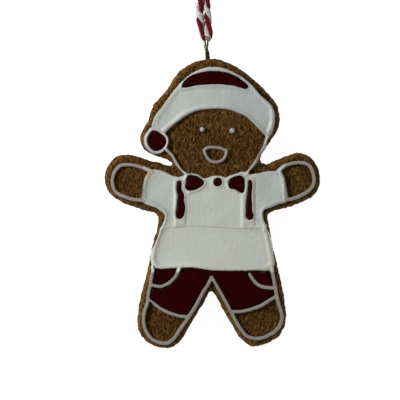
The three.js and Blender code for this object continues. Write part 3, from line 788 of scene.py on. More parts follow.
def makeWireEye(material):
    # Ring: middle + R (cos t towards -Y, sin t towards the leaning up vector), from the shank right round.
    turn = np.radians(wire["ringTurn"])
    lean = np.array([np.sin(turn), 0, np.cos(turn)])
    t = np.radians(np.linspace(*wire["ringSpan"], 26))[:, None]
    ring = wire["ringMiddle"] + wire["ringRadius"] * (np.cos(t) * np.array([0, -1, 0]) + np.sin(t) * lean)
    foot, top = np.array(wire["shankFoot"]), np.array(wire["shankTop"])
    path = smoothed(smoothRoute(np.vstack([foot, (foot + top) / 2, top, ring]), wire["spacing"]), 2)
    across, up = pathFrame(path, np.cross(lean, (0, 1, 0)))
    length = np.arange(len(path)) * wire["spacing"]
    thick = np.interp(path[:, 1], wire["neck"], [wire["shankRadius"], wire["radius"]])
    ends = np.sqrt(np.clip(np.minimum(length, length[-1] - length) / 0.3, 0.05, 1))
    around = np.sin(3 * roundTurn(wire["sides"])[None] + 1.3 * length[:, None])
    dents = 1 + wire["dents"] * around * np.sin(0.7 * length)[:, None]
    points, quads, caps = tube(path, across, up, (thick * ends)[:, None] * dents)
    stain = np.clip((wire["stainTop"] - points[:, 1]) / wire["stainFade"], 0, 1)
    addPiece("eye_wire", points, [quads, caps], [material], "wire", ["wire_eye"], stain=stain)


makeWireEye(wireMaterial())
print("wire eye: made")


# Places, as in `fuller`, `nudges`, `softer`, `hollows`, `creamy` and `corners`, have x, y and a reach, and
# then the amounts, which fade out with the distance.
slab = {
    "edgeSpacing": 0.24, "softness": 0.45, "spacing": 0.2, "backSpacing": 1.6,
    "shoulderReach": 1.5, "shoulderDrop": 1.9, "backRound": 0.8, "sideBulge": 0.12, "sideRings": 6,
    "pits": 2600, "pitWidth": (0.14, 0.27), "pitLength": (0.25, 0.58), "pitDepth": (0.08, 0.37),
    "pitTilt": 0.25, "wave": 0.05, "rimWave": 0.07, "ragged": 0.09, "wornLess": 0.75, "wornSide": 0.6,
    "wornStep": 0.2, "raggedSize": (2.4, 1.1), "waveSize": (5, 2.2), "rimWaveSize": 1.0,
    "sideSize": (7, 1.4), "rimAngles": (14, 28, 42, 56, 70, 82), "backAngles": (30, 60, 85),
    "sparseUnder": 0.45, "redUnder": 0.4,
    # Where the figure is fuller (below zero, slimmer).
    "fuller": [(-10.5, 34, 6, 0.45), (14.5, 31, 6, 0.45), (19.6, 19.5, 2, 0.25), (-17.5, 26, 5, 0.22),
               (-21, 17, 3, 0.18), (29, 10, 3.5, 0.5), (31.3, 1.5, 3, 0.28), (18, -14, 4.5, 0.12),
               (-18.5, -16, 5, 0.4), (21, -31, 4, 0.12), (18.5, -43.6, 5, 0.55), (-12.1, -45.9, 2.5, 0.3),
               (-20.5, -42, 6, 0.22), (4.7, -38.2, 4, -0.18), (-2.5, -32.4, 2, 0.24), (-30, -0.5, 5, 0.28),
               (-29.2, 10.1, 3, 0.18), (-14.8, 8.3, 2.4, 0.5), (18.7, 9.3, 2.5, 0.2),
               (-15.5, 10.5, 3, -0.13), (3, 38, 5, 0.13), (-5, 39, 2, 0.15), (18, 27.5, 1.5, 0.18),
               (31, 5.5, 1.6, 0.15), (-30.8, 8.3, 1.5, -0.3)],
}

icing = {
    "spacing": 0.22, "rings": (0.03, 0.08, 0.15, 0.25, 0.38, 0.5), "sink": 0.35, "middle": 0.7,
    # The poured level with its round shoulder, which is tighter where it faces right and beside the red.
    "floodHeight": 0.74, "shoulder": 0.44, "tightRight": 0.22, "tightByRed": 0.27, "byRed": (-0.75, -0.45),
    "climb": 0.15, "climbReach": 1.5, "inner": (0.5, 1.2), "uneven": 0.05, "unevenSize": 6.5,
    "fine": 0.01, "fineSize": 2.2, "followSlab": 0.6, "paintCut": 0.2, "ridgeCut": 0.7,
    # The bare lines of hands, legs and cheeks.
    "slim": 0.07, "lineLift": 0.2, "handLine": 21.2, "hemLine": -24.1, "cheekX": (8.3, 14.6),
    "cheekY": (6.3, 12.4), "cheekBare": 0.7, "loneHeight": 0.98, "loneShoulder": 0.38, "mouthLine": 12.2,
    "mouthHalf": 4, "loneRings": 5, "loneSpacing": 0.15,
    # The piped ridge: its height and slope, and its share where the edge beside it faces left or right.
    "ridgeHeight": 0.26, "ridgeSlope": (-0.5, 0.5), "ridgeTone": 0.1, "ridgeShift": 0.25,
    "shiftReach": (1.6, 0.4), "ridgeLeft": 0.55, "ridgeRight": 1.5, "sideReach": (0.8, 0.5),
    "creaseReach": 0.35,
    "waistFlat": 0.9, "bareFlat": 0.85,
    "straps": {"brace_left": (-11.2, -7.9), "brace_right": (8.9, 13)}, "strapLift": 0.3,
    "strapEdge": (0.1, 0.5),
    "grooves": [(-7.65, -10.4, -1.2), (12.95, -10.8, 3.2)], "grooveDepth": 0.14, "grooveWidth": 0.42,
    # Where the paint's outlines are moved aside.
    "nudges": [(18.5, -32.5, 3.5, -0.1, -0.4), (9.5, -35.7, 3, 0, -0.25), (15.2, -33.9, 3, 0.25, -0.48),
               (12.3, -26.5, 2.6, 0.55, -0.08), (-5.5, -34, 5, 0.36, -0.15), (19.6, -33, 4, -0.32, 0),
               (-19.3, -33.4, 1.8, 0.36, 0), (-19.3, 6.6, 2, 0.45, -0.08), (-30, 3, 6, 0.07, 0),
               (-15.2, 26.2, 3.5, 0.3, -0.12), (-14.9, 17.6, 1.7, -0.4, -0.45),
               (-13.3, 18.7, 1.1, 0.35, 0.35), (-18, 10.4, 1.7, -0.1, -1.1), (-15.2, 10.6, 1.6, 0, -0.9),
               (-9.5, 21.3, 3.5, 0.12, -0.2),
               (-13.2, 10.4, 2, 0.33, 0.25), (-4.4, 37, 2.5, 0, -0.3), (3.2, 10.6, 1.5, 0.28, -0.2),
               (-8.5, -0.9, 1, 0.2, 0), (-8.3, -2.8, 1.3, -0.25, 0), (-9, 1, 1.2, -0.2, 0),
               (-10.6, -0.9, 0.9, 0.12, 0), (12, -4, 1.6, 0.3, 0), (11.1, 3.4, 1.2, 0, 0.25),
               (5.8, 4.4, 1.3, -0.25, 0.15), (5.5, 1.4, 1.2, -0.15, -0.25), (9.5, 2.4, 1.3, -0.4, 0),
               (10.9, 2.2, 1, 0.38, 0), (1.7, 3.1, 2, 0.15, 0), (10.8, 5.4, 1.2, -0.38, -0.45),
               (18.8, 6.3, 2.2, 0.1, -0.38), (-4, 5, 1.6, 0.1, 0.28), (-1.4, 4.4, 1, 0.1, -0.3),
               (-8.6, 5.3, 1.1, 0.1, -0.35), (19.3, -41.2, 3, 0.22, -0.22), (-1.4, -27.5, 2.4, 0.27, -0.22),
               (18, -23.4, 1.5, -0.3, 0), (-18.5, -23.8, 1.1, 0.2, 0), (20, -3.3, 1.8, -0.1, 0.28),
               (29.2, 8, 2.5, 0.2, 0.24), (-13.3, -45.3, 2, 0.1, -0.25), (14.8, 13.5, 1.8, 0.27, -0.1),
               (-15.5, -28, 1.5, -0.05, -0.35), (10.2, 22.6, 1.8, 0.12, 0.2), (-28.5, 6.6, 1.6, 0.16, -0.15),
               (3.5, 13, 1, -0.08, -0.22), (-18.2, 19.2, 0.9, -0.7, 0.5), (-17.9, -22.3, 0.7, -0.35, 0.15)],
    # Where the white is fuller (below zero, slimmer), has softer ridges, lies in shallow hollows and is
    # creamy, and where two edges meet in a corner and neither counts as facing left.
    "fuller": [(-20.6, 15.3, 3, 0.2), (-17.3, 15.5, 3.3, 0.26), (-18.5, -18.4, 3, 0.3),
               (-12.2, 10.8, 2.5, 0.13), (-9.8, 8, 2, 0.1), (14.4, 12.5, 2.5, 0.13), (12, 8, 2.5, 0.13),
               (-18.3, -33, 1, -0.15),
               (1, 31.3, 4, 0.28), (7.5, 31, 3.5, 0.2), (-7.8, 34.2, 3.5, -0.18), (7, 34.5, 3.5, -0.12),
               (17.5, 26, 4, -0.15), (14.3, 29.3, 2.5, -0.25), (-3, 25.2, 3, 0.15), (18.2, -19.6, 1.5, -0.2),
               (-16, -10.9, 1.5, 0.22), (1.75, 3.1, 1.4, 0.12), (-9.4, 5.2, 1.5, -0.2),
               (11.5, 5.8, 1.5, -0.15), (15.9, -9.4, 2, -0.45), (-18, -3.5, 3.5, 0.18),
               (-20.5, 3, 3.5, 0.12), (21, 2.5, 3.5, 0.12)],
    "softer": [(1.6, 3.1, 2.4, 0.65), (-16, 25, 5, 0.5), (-17.5, -16, 5, 0.85)],
    "hollows": [(-15.4, 2.3, 3, 0.16), (17.2, 2.5, 3, 0.14)],
    "creamy": [(-19.3, 5.3, 1.7, 0.8), (18.2, -21.5, 2, 0.4), (-18, -15, 2.5, 0.3), (16.5, 17, 3, 0.3)],
    "corners": [(-16.9, -22.1, 1.4, 1)],
    # The lower panel's own outline, its step down and dish, the waist seam over it, and how far the hem
    # under it is moved along the way.
    "panel": [(-14.8, -11.2), (-12.7, -10.6), (-9.7, -10.4), (-3.7, -10.4), (0.8, -10.6), (5.3, -10.95),
              (9.8, -11.15), (14.6, -11.25), (15.6, -12.4), (16.4, -16.3), (17.0, -20.5), (16.6, -22.0),
              (14.9, -22.6), (5.3, -22.7), (-3.7, -22.35), (-14.2, -22.15), (-16.2, -21.7), (-17.3, -20.2),
              (-16.9, -16.9), (-16, -13.3)],
    "panelStep": 0.14, "panelDish": 0.42, "dishReach": 2.2, "dishSpan": (4, -8),
    "panelEdge": (0.2, 0.3, 0.4),
    "dishLess": 0.5, "dishLow": -10, "dishFall": (0, 2),
    "panelMiddle": (-17, 6), "frame": 0.15, "frameSpan": (8, 12), "frameAt": (-0.6, 0.4),
    "frameFall": 0.3, "frameFallAt": (0.7, 2.2),
    "waistLine": -10.6, "waistReach": 1.4, "waistHalf": 14.6,
    "hem": [(-17, 0), (-14, 0.25), (-8, 0.05), (0, -0.08), (5, -0.05), (10, 0.1), (14.5, 0.65), (18, 0.5)],
    "hemHeight": -23.5, "hemReach": 0.9, "hemEnds": (17.6, 16.4),
    # Painted shade in the creases: hardly any on the hat, and some round the panel, though less low on its
    # left.
    "hatFrom": (13, 16), "hatClean": 0.9, "border": 0.7, "borderAt": (0.05, 0.25), "borderClean": 0.8,
    "borderLow": -12, "grooveDirt": 0.8,
    # Cooler whites with painted shade to the right on the hat, thin brims and the pink beside the red.
    "coolFrom": (7, 9), "coolAcross": (-16, 14), "coolLeft": 0.35, "sleeve": 0.7,
    "sleeveFrom": (11.5, 13.5), "sleeveLow": -9, "coolRest": 0.15,
    "brimRight": 0.15, "brimReach": 0.25, "brimWider": 0.4, "brimByRed": (-0.3, 1.2),
    "blushRight": 0.7, "blushReach": 0.45, "loneBrim": 0.5, "eyeBare": 0.55,
}

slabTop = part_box("slab")[1].z / mm


def bells(points, places, column=3):
    # Sum of amount exp(-gap^2 / reach^2) over a list of places, the amounts taken from one column.
    table = np.array(places, float).T
    gap = (points[:, 0, None] - table[0]) ** 2 + (points[:, 1, None] - table[1]) ** 2
    return (table[column] * np.exp(-gap / table[2] ** 2)).sum(1)


def raggedLoop(loop):
    # The slab's outline, fuller in places and uneven like a cut edge that has baked.
    coarse, fine = slab["raggedSize"]
    uneven = slab["ragged"] * (ripple(loop, coarse, 21) + 0.7 * ripple(loop, fine, 22))
    return loop + leftNormals(loop) * (uneven - bells(loop, slab["fuller"]))[:, None]


evenOutline = evenLoops(sliceNode("slab", 2), slab["edgeSpacing"], slab["softness"])
outline = [raggedLoop(loop) for loop in evenOutline]


def bareLine(points):
    # 1 on the thin lines of hands, legs and cheeks, where nothing is poured between them.
    x, y = points[:, 0] - icing["middle"], points[:, 1]
    beyond = np.maximum(np.abs(x) - icing["handLine"], icing["hemLine"] - y)
    (nearX, farX), (lowY, highY) = icing["cheekX"], icing["cheekY"]
    cheek = (np.abs(x) > nearX) & (np.abs(x) < farX) & (y > lowY) & (y < highY)
    return np.maximum(np.clip(beyond / 0.8 + 0.5, 0, 1), icing["cheekBare"] * cheek)


def faceLoops(node, height, spacing, softness):
    # Outlines of a node at a height over the face, moved aside by the nudges.
    loops = evenLoops(sliceNode(node, slabTop + height), spacing, softness)
    return [loop + np.stack([bells(loop, icing["nudges"], k) for k in (3, 4)], 1) for loop in loops]


def movedAtHem(loops):
    # Outlines moved up or down beside the hem, by a shift that changes along its way.
    for loop in loops:
        near = hill(loop[:, 1], icing["hemHeight"], icing["hemReach"], 4)
        near = near * smoothStep(np.abs(loop[:, 0]), *icing["hemEnds"])
        loop[:, 1] += near * np.interp(loop[:, 0], *np.array(icing["hem"]).T)
    return loops


def paintLoops(node, spacing=0.16):
    # Outlines of a white node on the face: fuller in places, drawn in a little where they are bare lines,
    # and moved at the hem.
    loops = faceLoops(node, icing["paintCut"], spacing, 0.16)
    loops = [loop - leftNormals(loop) * bells(loop, icing["fuller"])[:, None] for loop in loops]
    slim = icing["slim"] if node in ("icing", "mouth") else 0
    bare = [(bareLine(loop) - 0.9 * (node == "mouth"))[:, None] for loop in loops]
    loops = [loop + slim * leftNormals(loop) * amount for loop, amount in zip(loops, bare)]
    return [evenLoop(loop, spacing, 0.08) for loop in movedAtHem(loops)]


whiteLoops = [loop for node in ("icing", "mouth", "eye_left", "eye_right") for loop in paintLoops(node)]
redNodes = ["hat_red", "bobble_red", "bow_left", "bow_right", "bow_button", "brace_left", "brace_right",
            "pocket_left", "shorts", "pocket_right"]
redLoops = {node: movedAtHem(faceLoops(node, icing["paintCut"], 0.2, 0.2)) for node in redNodes}


def shoulder(points):
    # Height of the slab's face, level and falling by a quarter ellipse near the outline, and the depth
    # inside the outline.
    depth = depthInside(points, outline)
    return slabTop - slab["shoulderDrop"] * (1 - dome(depth, slab["shoulderReach"])), depth


def pitField(points, covered):
    # Depth of the crust's pits: small upright strokes, deepest in the middle.
    low, high = outline[0].min(0), outline[0].max(0)
    spots = draw.uniform(low, high, (6 * slab["pits"], 2))
    bare = (depthInside(spots, outline) > 0.35) & ~covered(spots, 0.1)
    spots = spots[bare][:slab["pits"]]
    width = draw.uniform(*slab["pitWidth"], len(spots))
    length = draw.uniform(*slab["pitLength"], len(spots))
    deep = draw.uniform(*slab["pitDepth"], len(spots))
    tilt = draw.normal(0, slab["pitTilt"], len(spots))
    order = np.argsort(spots[:, 1])
    spots, width, length, deep, tilt = (array[order] for array in (spots, width, length, deep, tilt))
    result = np.zeros(len(points))
    for block in np.array_split(np.argsort(points[:, 1]), 400):
        place = points[block]
        near = slice(*np.searchsorted(spots[:, 1], [place[:, 1].min() - 2, place[:, 1].max() + 2]))
        offset = place[:, None] - spots[None, near]
        cos, sin = np.cos(tilt[near]), np.sin(tilt[near])
        across = (offset[..., 0] * cos + offset[..., 1] * sin) / width[near]
        along = (offset[..., 1] * cos - offset[..., 0] * sin) / length[near]
        result[block] = (deep[near] * np.exp(-(across ** 2 + along ** 2))).max(1, initial=0)
    return result


def coveredByPaint(points, margin):
    # Where paint covers the slab: deeper in than a margin for the white, and from a little further out
    # for the red.
    white = depthInside(points, whiteLoops) > margin
    for node in redNodes:
        white |= depthInside(points, redLoops[node]) > margin - slab["redUnder"]
    return white


def slabSide(loop):
    # Rings down the side, each bulging out by its own ripples, the last at the back's round edge.
    count = slab["sideRings"]
    levels = np.linspace(slabTop - slab["shoulderDrop"], slab["backRound"], count)[1:]
    bulge = slab["sideBulge"] * np.sin(np.pi * np.arange(1, count) / (count - 1))
    rings = []
    coarse, fine = slab["sideSize"]
    for level, amount in zip(levels, bulge):
        lumps = ripple(loop + 3 * level, coarse, 5) + 0.7 * ripple(loop + 2 * level, fine, 24)
        ring = loop - amount * leftNormals(loop) * lumps[:, None]
        rings.append(np.column_stack([ring, np.full(len(loop), level)]))
    return rings


def makeSlab(material):
    # A face with a round rim, a side, and a back that is nearly flat, all with the same outline.
    count, reach = len(outline[0]), slab["shoulderReach"]
    rings = reach * (1 - np.cos(np.radians(slab["rimAngles"])))
    flat, faces, _ = fillLoops(outline, rings, slab["spacing"],
                               lambda points: coveredByPaint(points, slab["sparseUnder"]))
    height, depth = shoulder(flat)
    pit = pitField(flat, coveredByPaint) * np.clip(depth / 0.5, 0, 1)
    nearEdge = 1 - np.clip(depth / reach, 0, 1)
    coarse, fine = slab["waveSize"]
    wave = slab["wave"] * (ripple(flat, coarse, 3) + 0.5 * ripple(flat, fine, 4)) * np.clip(depth, 0, 1)
    wave += slab["rimWave"] * ripple(flat, slab["rimWaveSize"], 23) * nearEdge * np.clip(depth / 0.4, 0, 1)
    top = np.column_stack([flat, height - pit + wave])
    side = slabSide(outline[0])
    ring = len(top) + np.arange(len(side) * count).reshape(len(side), count)
    ring = np.vstack([np.arange(count)[None], ring])
    backRings = slab["backRound"] * (1 - np.cos(np.radians(slab["backAngles"])))
    back, backFaces, _ = fillLoops(outline, backRings, slab["backSpacing"])
    backHeight = slab["backRound"] * (1 - dome(depthInside(back, outline), slab["backRound"]))
    index = np.concatenate([ring[-1], len(top) + len(side) * count + np.arange(len(back) - count)])
    points = np.vstack([top, *side, np.column_stack([back, backHeight])[count:]])
    beyond = len(points) - len(top)
    pits = np.concatenate([pit / slab["pitDepth"][1], np.zeros(beyond)])
    rim = np.concatenate([nearEdge, np.ones(len(side) * count), np.zeros(len(back) - count)])
    # Painted light: the rim is lit less where it faces right and up, so where the depth grows to the left
    # and down.
    aside = slab["wornStep"] * np.array([np.cos(slab["wornSide"]), np.sin(slab["wornSide"])])
    away = np.clip((shoulder(flat - aside)[1] - depth) / slab["wornStep"], 0, 1)
    wear = np.concatenate([1 - slab["wornLess"] * away, np.ones(beyond)])
    return addPiece("gingerbread", points, [faces, quadStrips(ring), index[backFaces][:, ::-1]], [material],
                    "crust", ["slab"], pit=pits, rim=rim, wear=wear)


enamel = {
    "spacing": 0.3, "rings": (0.1, 0.25), "grow": 0.2, "height": 0.8, "shoulder": 0.26, "climb": 0.03,
    "climbReach": 0.5, "uneven": 0.03, "edgeReach": 0.6,
}


def standOnFace(name, loops, rings, spacing, rise, material, slot, nodes):
    # A closed skin on the face: `rise` gives its height over the slab, its walls go a little way into it,
    # and its underside has no corners but those of the outline.
    flat, faces, sides = fillLoops(loops, rings, spacing)
    height, values = rise(flat)
    under, underFaces, _ = fillLoops(loops, (), 50)
    top = np.column_stack([flat, shoulder(flat)[0] + height])
    bottom = np.column_stack([under, shoulder(under)[0] - icing["sink"]])
    shift = len(top)
    walls = np.stack([sides[:, 0], shift + sides[:, 0], shift + sides[:, 1], sides[:, 1]], 1)
    values = {key: np.concatenate([value, np.zeros(len(bottom))]) for key, value in values.items()}
    return addPiece(name, np.vstack([top, bottom]), [faces, walls, shift + underFaces[:, ::-1]], [material],
                    slot, nodes, **values)


ridgeLoops = [loop for node in ("icing", "mouth") for loop in faceLoops(node, icing["ridgeCut"], 0.16, 0.14)]
panelLoops = [evenLoop(np.array(icing["panel"], float)[::-1], 0.2, 0.5)]


def strapShape(x, y):
    # A raised band round each brace: 1 at its left side, falling evenly to 0 at its right side. Also
    # where the band is, so that it can take the place of the piped lines.
    slope, there = np.zeros(len(x)), np.zeros(len(x))
    for node, (left, right) in icing["straps"].items():
        span = (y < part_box(node)[1].y / mm + 0.3) * (y > icing["waistLine"] - 0.2)
        slope += smoothStep(x, left - 0.6, left + 0.4) * np.clip((right - x) / (right - left), 0, 1) * span
        there += smoothStep(x, left - 1.4, left - 1) * smoothStep(x, right + 0.9, right + 0.5) * span
    return slope, there


def grooveShape(x, y):
    # 1 along the short upright grooves beside the braces.
    return sum(hill(x, across, icing["grooveWidth"]) * smoothStep(y, low, low + 0.8)
               * smoothStep(high - y, 0, 0.8) for across, low, high in icing["grooves"])


def facing(points):
    # How far the white's nearest edge faces left, and how far right, each from 0 to 1.
    aside = np.array([0.2, 0])
    lean = (depthInside(points + aside, whiteLoops) - depthInside(points - aside, whiteLoops)) / 0.4
    return np.clip(lean, 0, 1) * (1 - bells(points, icing["corners"])), np.clip(-lean, 0, 1)


def icingRise(points):
    # Round shoulder times the sum of a poured level, a climb towards the edge, a soft ridge along the piped
    # lines, the raised straps, and the lower panel, which is a step down and then a dish that deepens
    # from its left side.
    x, y = points[:, 0] - icing["middle"], points[:, 1]
    edge, ridge = depthInside(points, whiteLoops), depthInside(points, ridgeLoops)
    panelDepth = depthInside(points, panelLoops)
    beyondRed = -depthInside(points, [loop for loops in redLoops.values() for loop in loops])
    left, right = facing(points)
    line, groove = bareLine(points), grooveShape(points[:, 0], y)
    strap, strapped = strapShape(points[:, 0], y)
    softer = 1 - bells(points, icing["softer"])
    inner = smoothStep(edge, *icing["inner"])
    dishLeft = smoothStep(x, *icing["dishSpan"])
    low, high, wider = icing["panelEdge"]
    panel = smoothStep(panelDepth, -low - wider * dishLeft, high + wider * dishLeft)
    waist = hill(y, icing["waistLine"], icing["waistReach"], 4) * (np.abs(x) < icing["waistHalf"])

    ridge -= icing["ridgeShift"] * left * fade(edge, *icing["shiftReach"]) * (1 - line)
    piped = smoothStep(ridge, *icing["ridgeSlope"]) * (1 - icing["waistFlat"] * waist) * (1 - strapped)
    piped *= softer * (1 - icing["bareFlat"] * line)
    side = 1 + fade(edge, *icing["sideReach"]) * (1 - line) * (
        (icing["ridgeLeft"] - 1) * left + (icing["ridgeRight"] - 1) * right)
    middle, half = icing["panelMiddle"]
    frameRidge = icing["frame"] * hill(panelDepth, *icing["frameAt"])
    beside = np.abs(y - middle) < half
    frameRidge -= icing["frameFall"] * smoothStep(-panelDepth, *icing["frameFallAt"]) * beside
    frameRidge *= smoothStep(x, *icing["frameSpan"])
    dish = icing["panelStep"] * panel
    dish += icing["panelDish"] * dishLeft * (1 - fade(panelDepth, 0, icing["dishReach"]))
    shallow = icing["dishLess"] * smoothStep(icing["dishLow"] - y, *icing["dishFall"])
    dish -= icing["panelDish"] * dishLeft * shallow
    climb = icing["climb"] * fade(edge, 0, icing["climbReach"]) * (1 - np.maximum(panel, line))
    level = icing["floodHeight"] + climb + frameRidge * inner - dish
    level += icing["ridgeHeight"] * piped * side + icing["lineLift"] * line
    level += icing["strapLift"] * strap * smoothStep(edge, *icing["strapEdge"])
    level -= icing["grooveDepth"] * groove + bells(points, icing["hollows"])
    level += icing["uneven"] * inner * (1 - panel) * ripple(points, icing["unevenSize"], 7)
    level += icing["fine"] * ripple(points, icing["fineSize"], 8)
    level += icing["followSlab"] * left * (1 - line) * (slabTop - shoulder(points)[0])
    tight = np.maximum(icing["tightRight"] * np.maximum(right, 0.7 * line),
                       icing["tightByRed"] * smoothStep(-beyondRed, *icing["byRed"]))
    height = level * dome(edge, icing["shoulder"] - tight)

    # Painted shade in the creases: beside the ridges, though hardly on the hat, round the panel and in the
    # grooves.
    crease = hill(np.minimum(ridge, 0), 0, icing["creaseReach"]) * (ridge < 0) * inner * (1 - panel)
    crease *= (1 - waist) * softer * (1 - icing["hatClean"] * smoothStep(y, *icing["hatFrom"]))
    crease *= 1 - strapped
    border = icing["border"] * hill(panelDepth, *icing["borderAt"]) * inner
    border *= 1 - icing["borderClean"] * dishLeft * (y < icing["borderLow"])
    # The hat is a cooler white with painted shade that darkens it more to the right, and the sleeves are a
    # cooler white.
    coolLeft, brimRight, blushRight = icing["coolLeft"], icing["brimRight"], icing["blushRight"]
    hat = smoothStep(y, *icing["coolFrom"])
    # Painted shade: the hat's share grows towards the right.
    hat *= coolLeft + (1 - coolLeft) * smoothStep(x, *icing["coolAcross"])
    sleeve = icing["sleeve"] * smoothStep(np.abs(x), *icing["sleeveFrom"]) * (y > icing["sleeveLow"])
    # Paint is thin at the edges, and more so where they face left.
    brim = (brimRight + (1 - brimRight) * left) * smoothStep(beyondRed, *icing["brimByRed"])
    brim *= fade(edge, 0, icing["brimReach"] + icing["brimWider"] * left)
    blush = (blushRight + (1 - blushRight) * left) * fade(beyondRed, 0, icing["blushReach"])
    return height, {
        "bare": np.maximum(line, icing["ridgeTone"] * piped),
        "crease": np.maximum(np.maximum(crease, border), icing["grooveDirt"] * groove),
        "cool": np.maximum(hat, np.maximum(sleeve, icing["coolRest"] * (1 - panel))),
        "brim": brim, "blush": blush, "cream": bells(points, icing["creamy"])}


def lineRise(points):
    # A line or dot that stands alone, with a round shoulder. The eyes are whiter than the mouth.
    edge = depthInside(points, whiteLoops)
    none = np.zeros(len(points))
    eyes = np.abs(points[:, 1] - icing["mouthLine"]) > icing["mouthHalf"]
    return icing["loneHeight"] * dome(edge, icing["loneShoulder"]), {
        "bare": np.where(eyes, icing["eyeBare"], 1.0),
        "brim": icing["loneBrim"] * fade(edge, 0, icing["brimReach"]),
        "crease": none, "cool": none, "blush": none, "cream": none}


def makeIcing(material):
    # The white that joins up, then the mouth and the eyes, which are finer.
    standOnFace("icing_white", paintLoops("icing"), icing["rings"], icing["spacing"], icingRise, material,
                "white_paint", ["icing"])
    for node, slot in (("mouth", "line_paint"), ("eye_left", "white_paint"), ("eye_right", "white_paint")):
        loops, rings = paintLoops(node, 0.12), icing["rings"][:icing["loneRings"]]
        standOnFace(node + "_line", loops, rings, icing["loneSpacing"], lineRise, material, slot, [node])


def enamelRise(points, loops):
    # A level field with a tight round shoulder, a little higher near its edge.
    edge = depthInside(points, loops)
    level = enamel["height"] * dome(edge, enamel["shoulder"])
    level += enamel["climb"] * np.exp(-edge / enamel["climbReach"])
    # The edge value marks the painted shade along the red's edge.
    return level + enamel["uneven"] * ripple(points, 3.5, 11), {"edge": np.exp(-edge / enamel["edgeReach"])}


def makeEnamel(material):
    # Each red field reaches a little under the white round it.
    for node in redNodes:
        loops = [evenLoop(loop - enamel["grow"] * leftNormals(loop), 0.2, 0.2) for loop in redLoops[node]]
        standOnFace(node + "_enamel", loops, enamel["rings"], enamel["spacing"],
                    lambda points: enamelRise(points, loops), material, "red_paint", [node])


crust = {
    "olive": (0.110, 0.057, 0.0086), "rust": (0.124, 0.0472, 0.0100), "pale": (0.192, 0.1045, 0.0285),
    "dark": (0.034, 0.0141, 0.0019), "deep": (0.014, 0.006, 0.0011),
    # The worn tint lightens worn rims, and also paints light on them where they face left and down.
    "wornTint": (1.4, 1.5, 1.58), "footTint": (0.55, 0.55, 0.55), "pitShade": 0.95,
}


def crustMaterial():
    # Brown paint with upright flecks: painted shade in the pits, golden where the edge is worn, with painted
    # light where the rim faces left and down, in olive and rust clouds, and darker down the side.
    finish = Finish("crust", 0.66, 0.05)
    flecks = finish.noise(finish.stretched(finish.place, (3100, 1000, 1600)), 1.0, 3.0, 0.62)
    clouds = finish.clouds(3.0, 3.5)
    broad = finish.clouds(9.0, 2.0, (1, 1, 1.3))
    color = finish.mix(clouds, crust["olive"], crust["rust"])
    color = finish.mix(finish.ramp(flecks, 0.5, 0.66), color, crust["pale"])
    color = finish.mix(finish.ramp(flecks, 0.49, 0.38), color, crust["dark"])
    color = finish.mix(finish.times(broad, 0.3), color, crust["dark"])
    rim = finish.attribute("rim")
    worn = finish.times(finish.ramp(rim, 0.05, 0.5), finish.ramp(clouds, 0.0, 1.0, 0.55, 0.95))
    # Worn rims are lighter and golden, with painted light added where the rim faces left and down.
    color = finish.tinted(finish.times(worn, finish.attribute("wear")), color, crust["wornTint"])
    color = finish.tinted(finish.ramp(rim, 0.55, 0.95), color, crust["footTint"])
    # Painted shade: the pits are darkened towards the deep brown.
    return finish.set(
        BaseColor=finish.mix(finish.times(finish.attribute("pit"), crust["pitShade"]), color, crust["deep"]),
        Roughness=finish.ramp(flecks, 0.3, 0.7, 0.8, 0.58),
        Normal=finish.grain(0.42, 0.26, extra=finish.times(flecks, 0.8)))


paint = {
    "pale": (0.53, 0.566, 0.515), "warm": (0.572, 0.573, 0.505), "cool": (0.412, 0.443, 0.44),
    "shade": (0.49, 0.525, 0.49), "line": (0.272, 0.244, 0.22), "linePale": (0.33, 0.3, 0.276),
    "cream": (0.47, 0.385, 0.275), "dirt": (0.22, 0.19, 0.14),
    "thinTint": (0.52, 0.48, 0.42), "blushTint": (0.86, 0.71, 0.74),
}


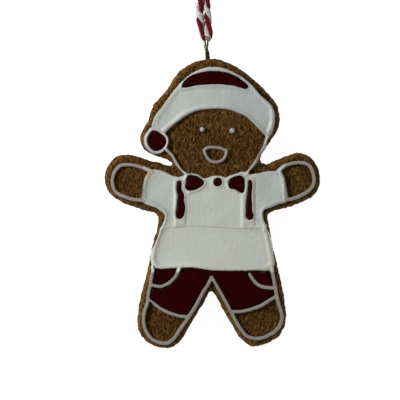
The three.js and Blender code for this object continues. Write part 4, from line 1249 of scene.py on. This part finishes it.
def whiteMaterial():
    # Off-white paint: cool and warm clouds, painted shade darkening the hat to the right, greyer where it is
    # a bare line, painted shade in creases, dark specks, and pink or brown where it is thin beside the red
    # or at its brim.
    finish = Finish("white paint", 0.42, 0.3)
    broad = finish.clouds(8.0, 2.0)
    clouds = finish.clouds(2.2, 2.5, (1, 1.4, 1))
    specks = finish.noise(finish.place, 3600.0, 1.0)
    color = finish.mix(broad, paint["pale"], paint["warm"])
    # Cooler white on the hat and sleeves, with painted shade on the hat's right.
    color = finish.mix(finish.attribute("cool"), color, paint["cool"])
    color = finish.mix(finish.times(clouds, 0.3), color, paint["shade"])
    color = finish.mix(finish.attribute("bare"), color, finish.mix(clouds, paint["line"], paint["linePale"]))
    # Painted shade in the creases, in the grooves and round the panel.
    color = finish.mix(finish.times(finish.attribute("crease"), 0.35), color, paint["dirt"])
    color = finish.mix(finish.attribute("cream"), color, paint["cream"])
    color = finish.tinted(finish.attribute("brim"), color, paint["thinTint"])
    color = finish.tinted(finish.attribute("blush"), color, paint["blushTint"])
    return finish.set(
        BaseColor=finish.mix(finish.ramp(specks, 0.72, 0.8, 0.0, 0.35), color, paint["dirt"]),
        Roughness=finish.ramp(clouds, 0.2, 0.8, 0.36, 0.52),
        Normal=finish.grain(1.1, 0.075, finish.stretched(finish.place, (1, 0.6, 1))))


red = {
    "deep": (0.022, 0.0006, 0.0009), "bright": (0.029, 0.0007, 0.0012), "brown": (0.023, 0.0009, 0.0008),
    # The edge tone is painted shade beside the raised white.
    "edge": (0.010, 0.0008, 0.0008),
}


def redMaterial():
    # Deep red gloss paint, a little brighter in clouds, with painted shade that darkens it along its edge
    # beside the raised white.
    finish = Finish("red paint", 0.3, 0.06)
    clouds = finish.clouds(1.2, 2.5, (1, 0.7, 1))
    color = finish.mix(finish.clouds(5.0, 3.0), red["deep"], red["bright"])
    color = finish.mix(finish.times(clouds, 0.4), color, red["brown"])
    return finish.set(
        # Painted shade: darker along the edge, beside the raised white.
        BaseColor=finish.mix(finish.times(finish.attribute("edge"), 0.45), color, red["edge"]),
        Roughness=finish.ramp(clouds, 0.2, 0.8, 0.26, 0.42),
        Normal=finish.grain(0.9, 0.06))


makeSlab(crustMaterial())
makeIcing(whiteMaterial())
makeEnamel(redMaterial())
print("figure: made")
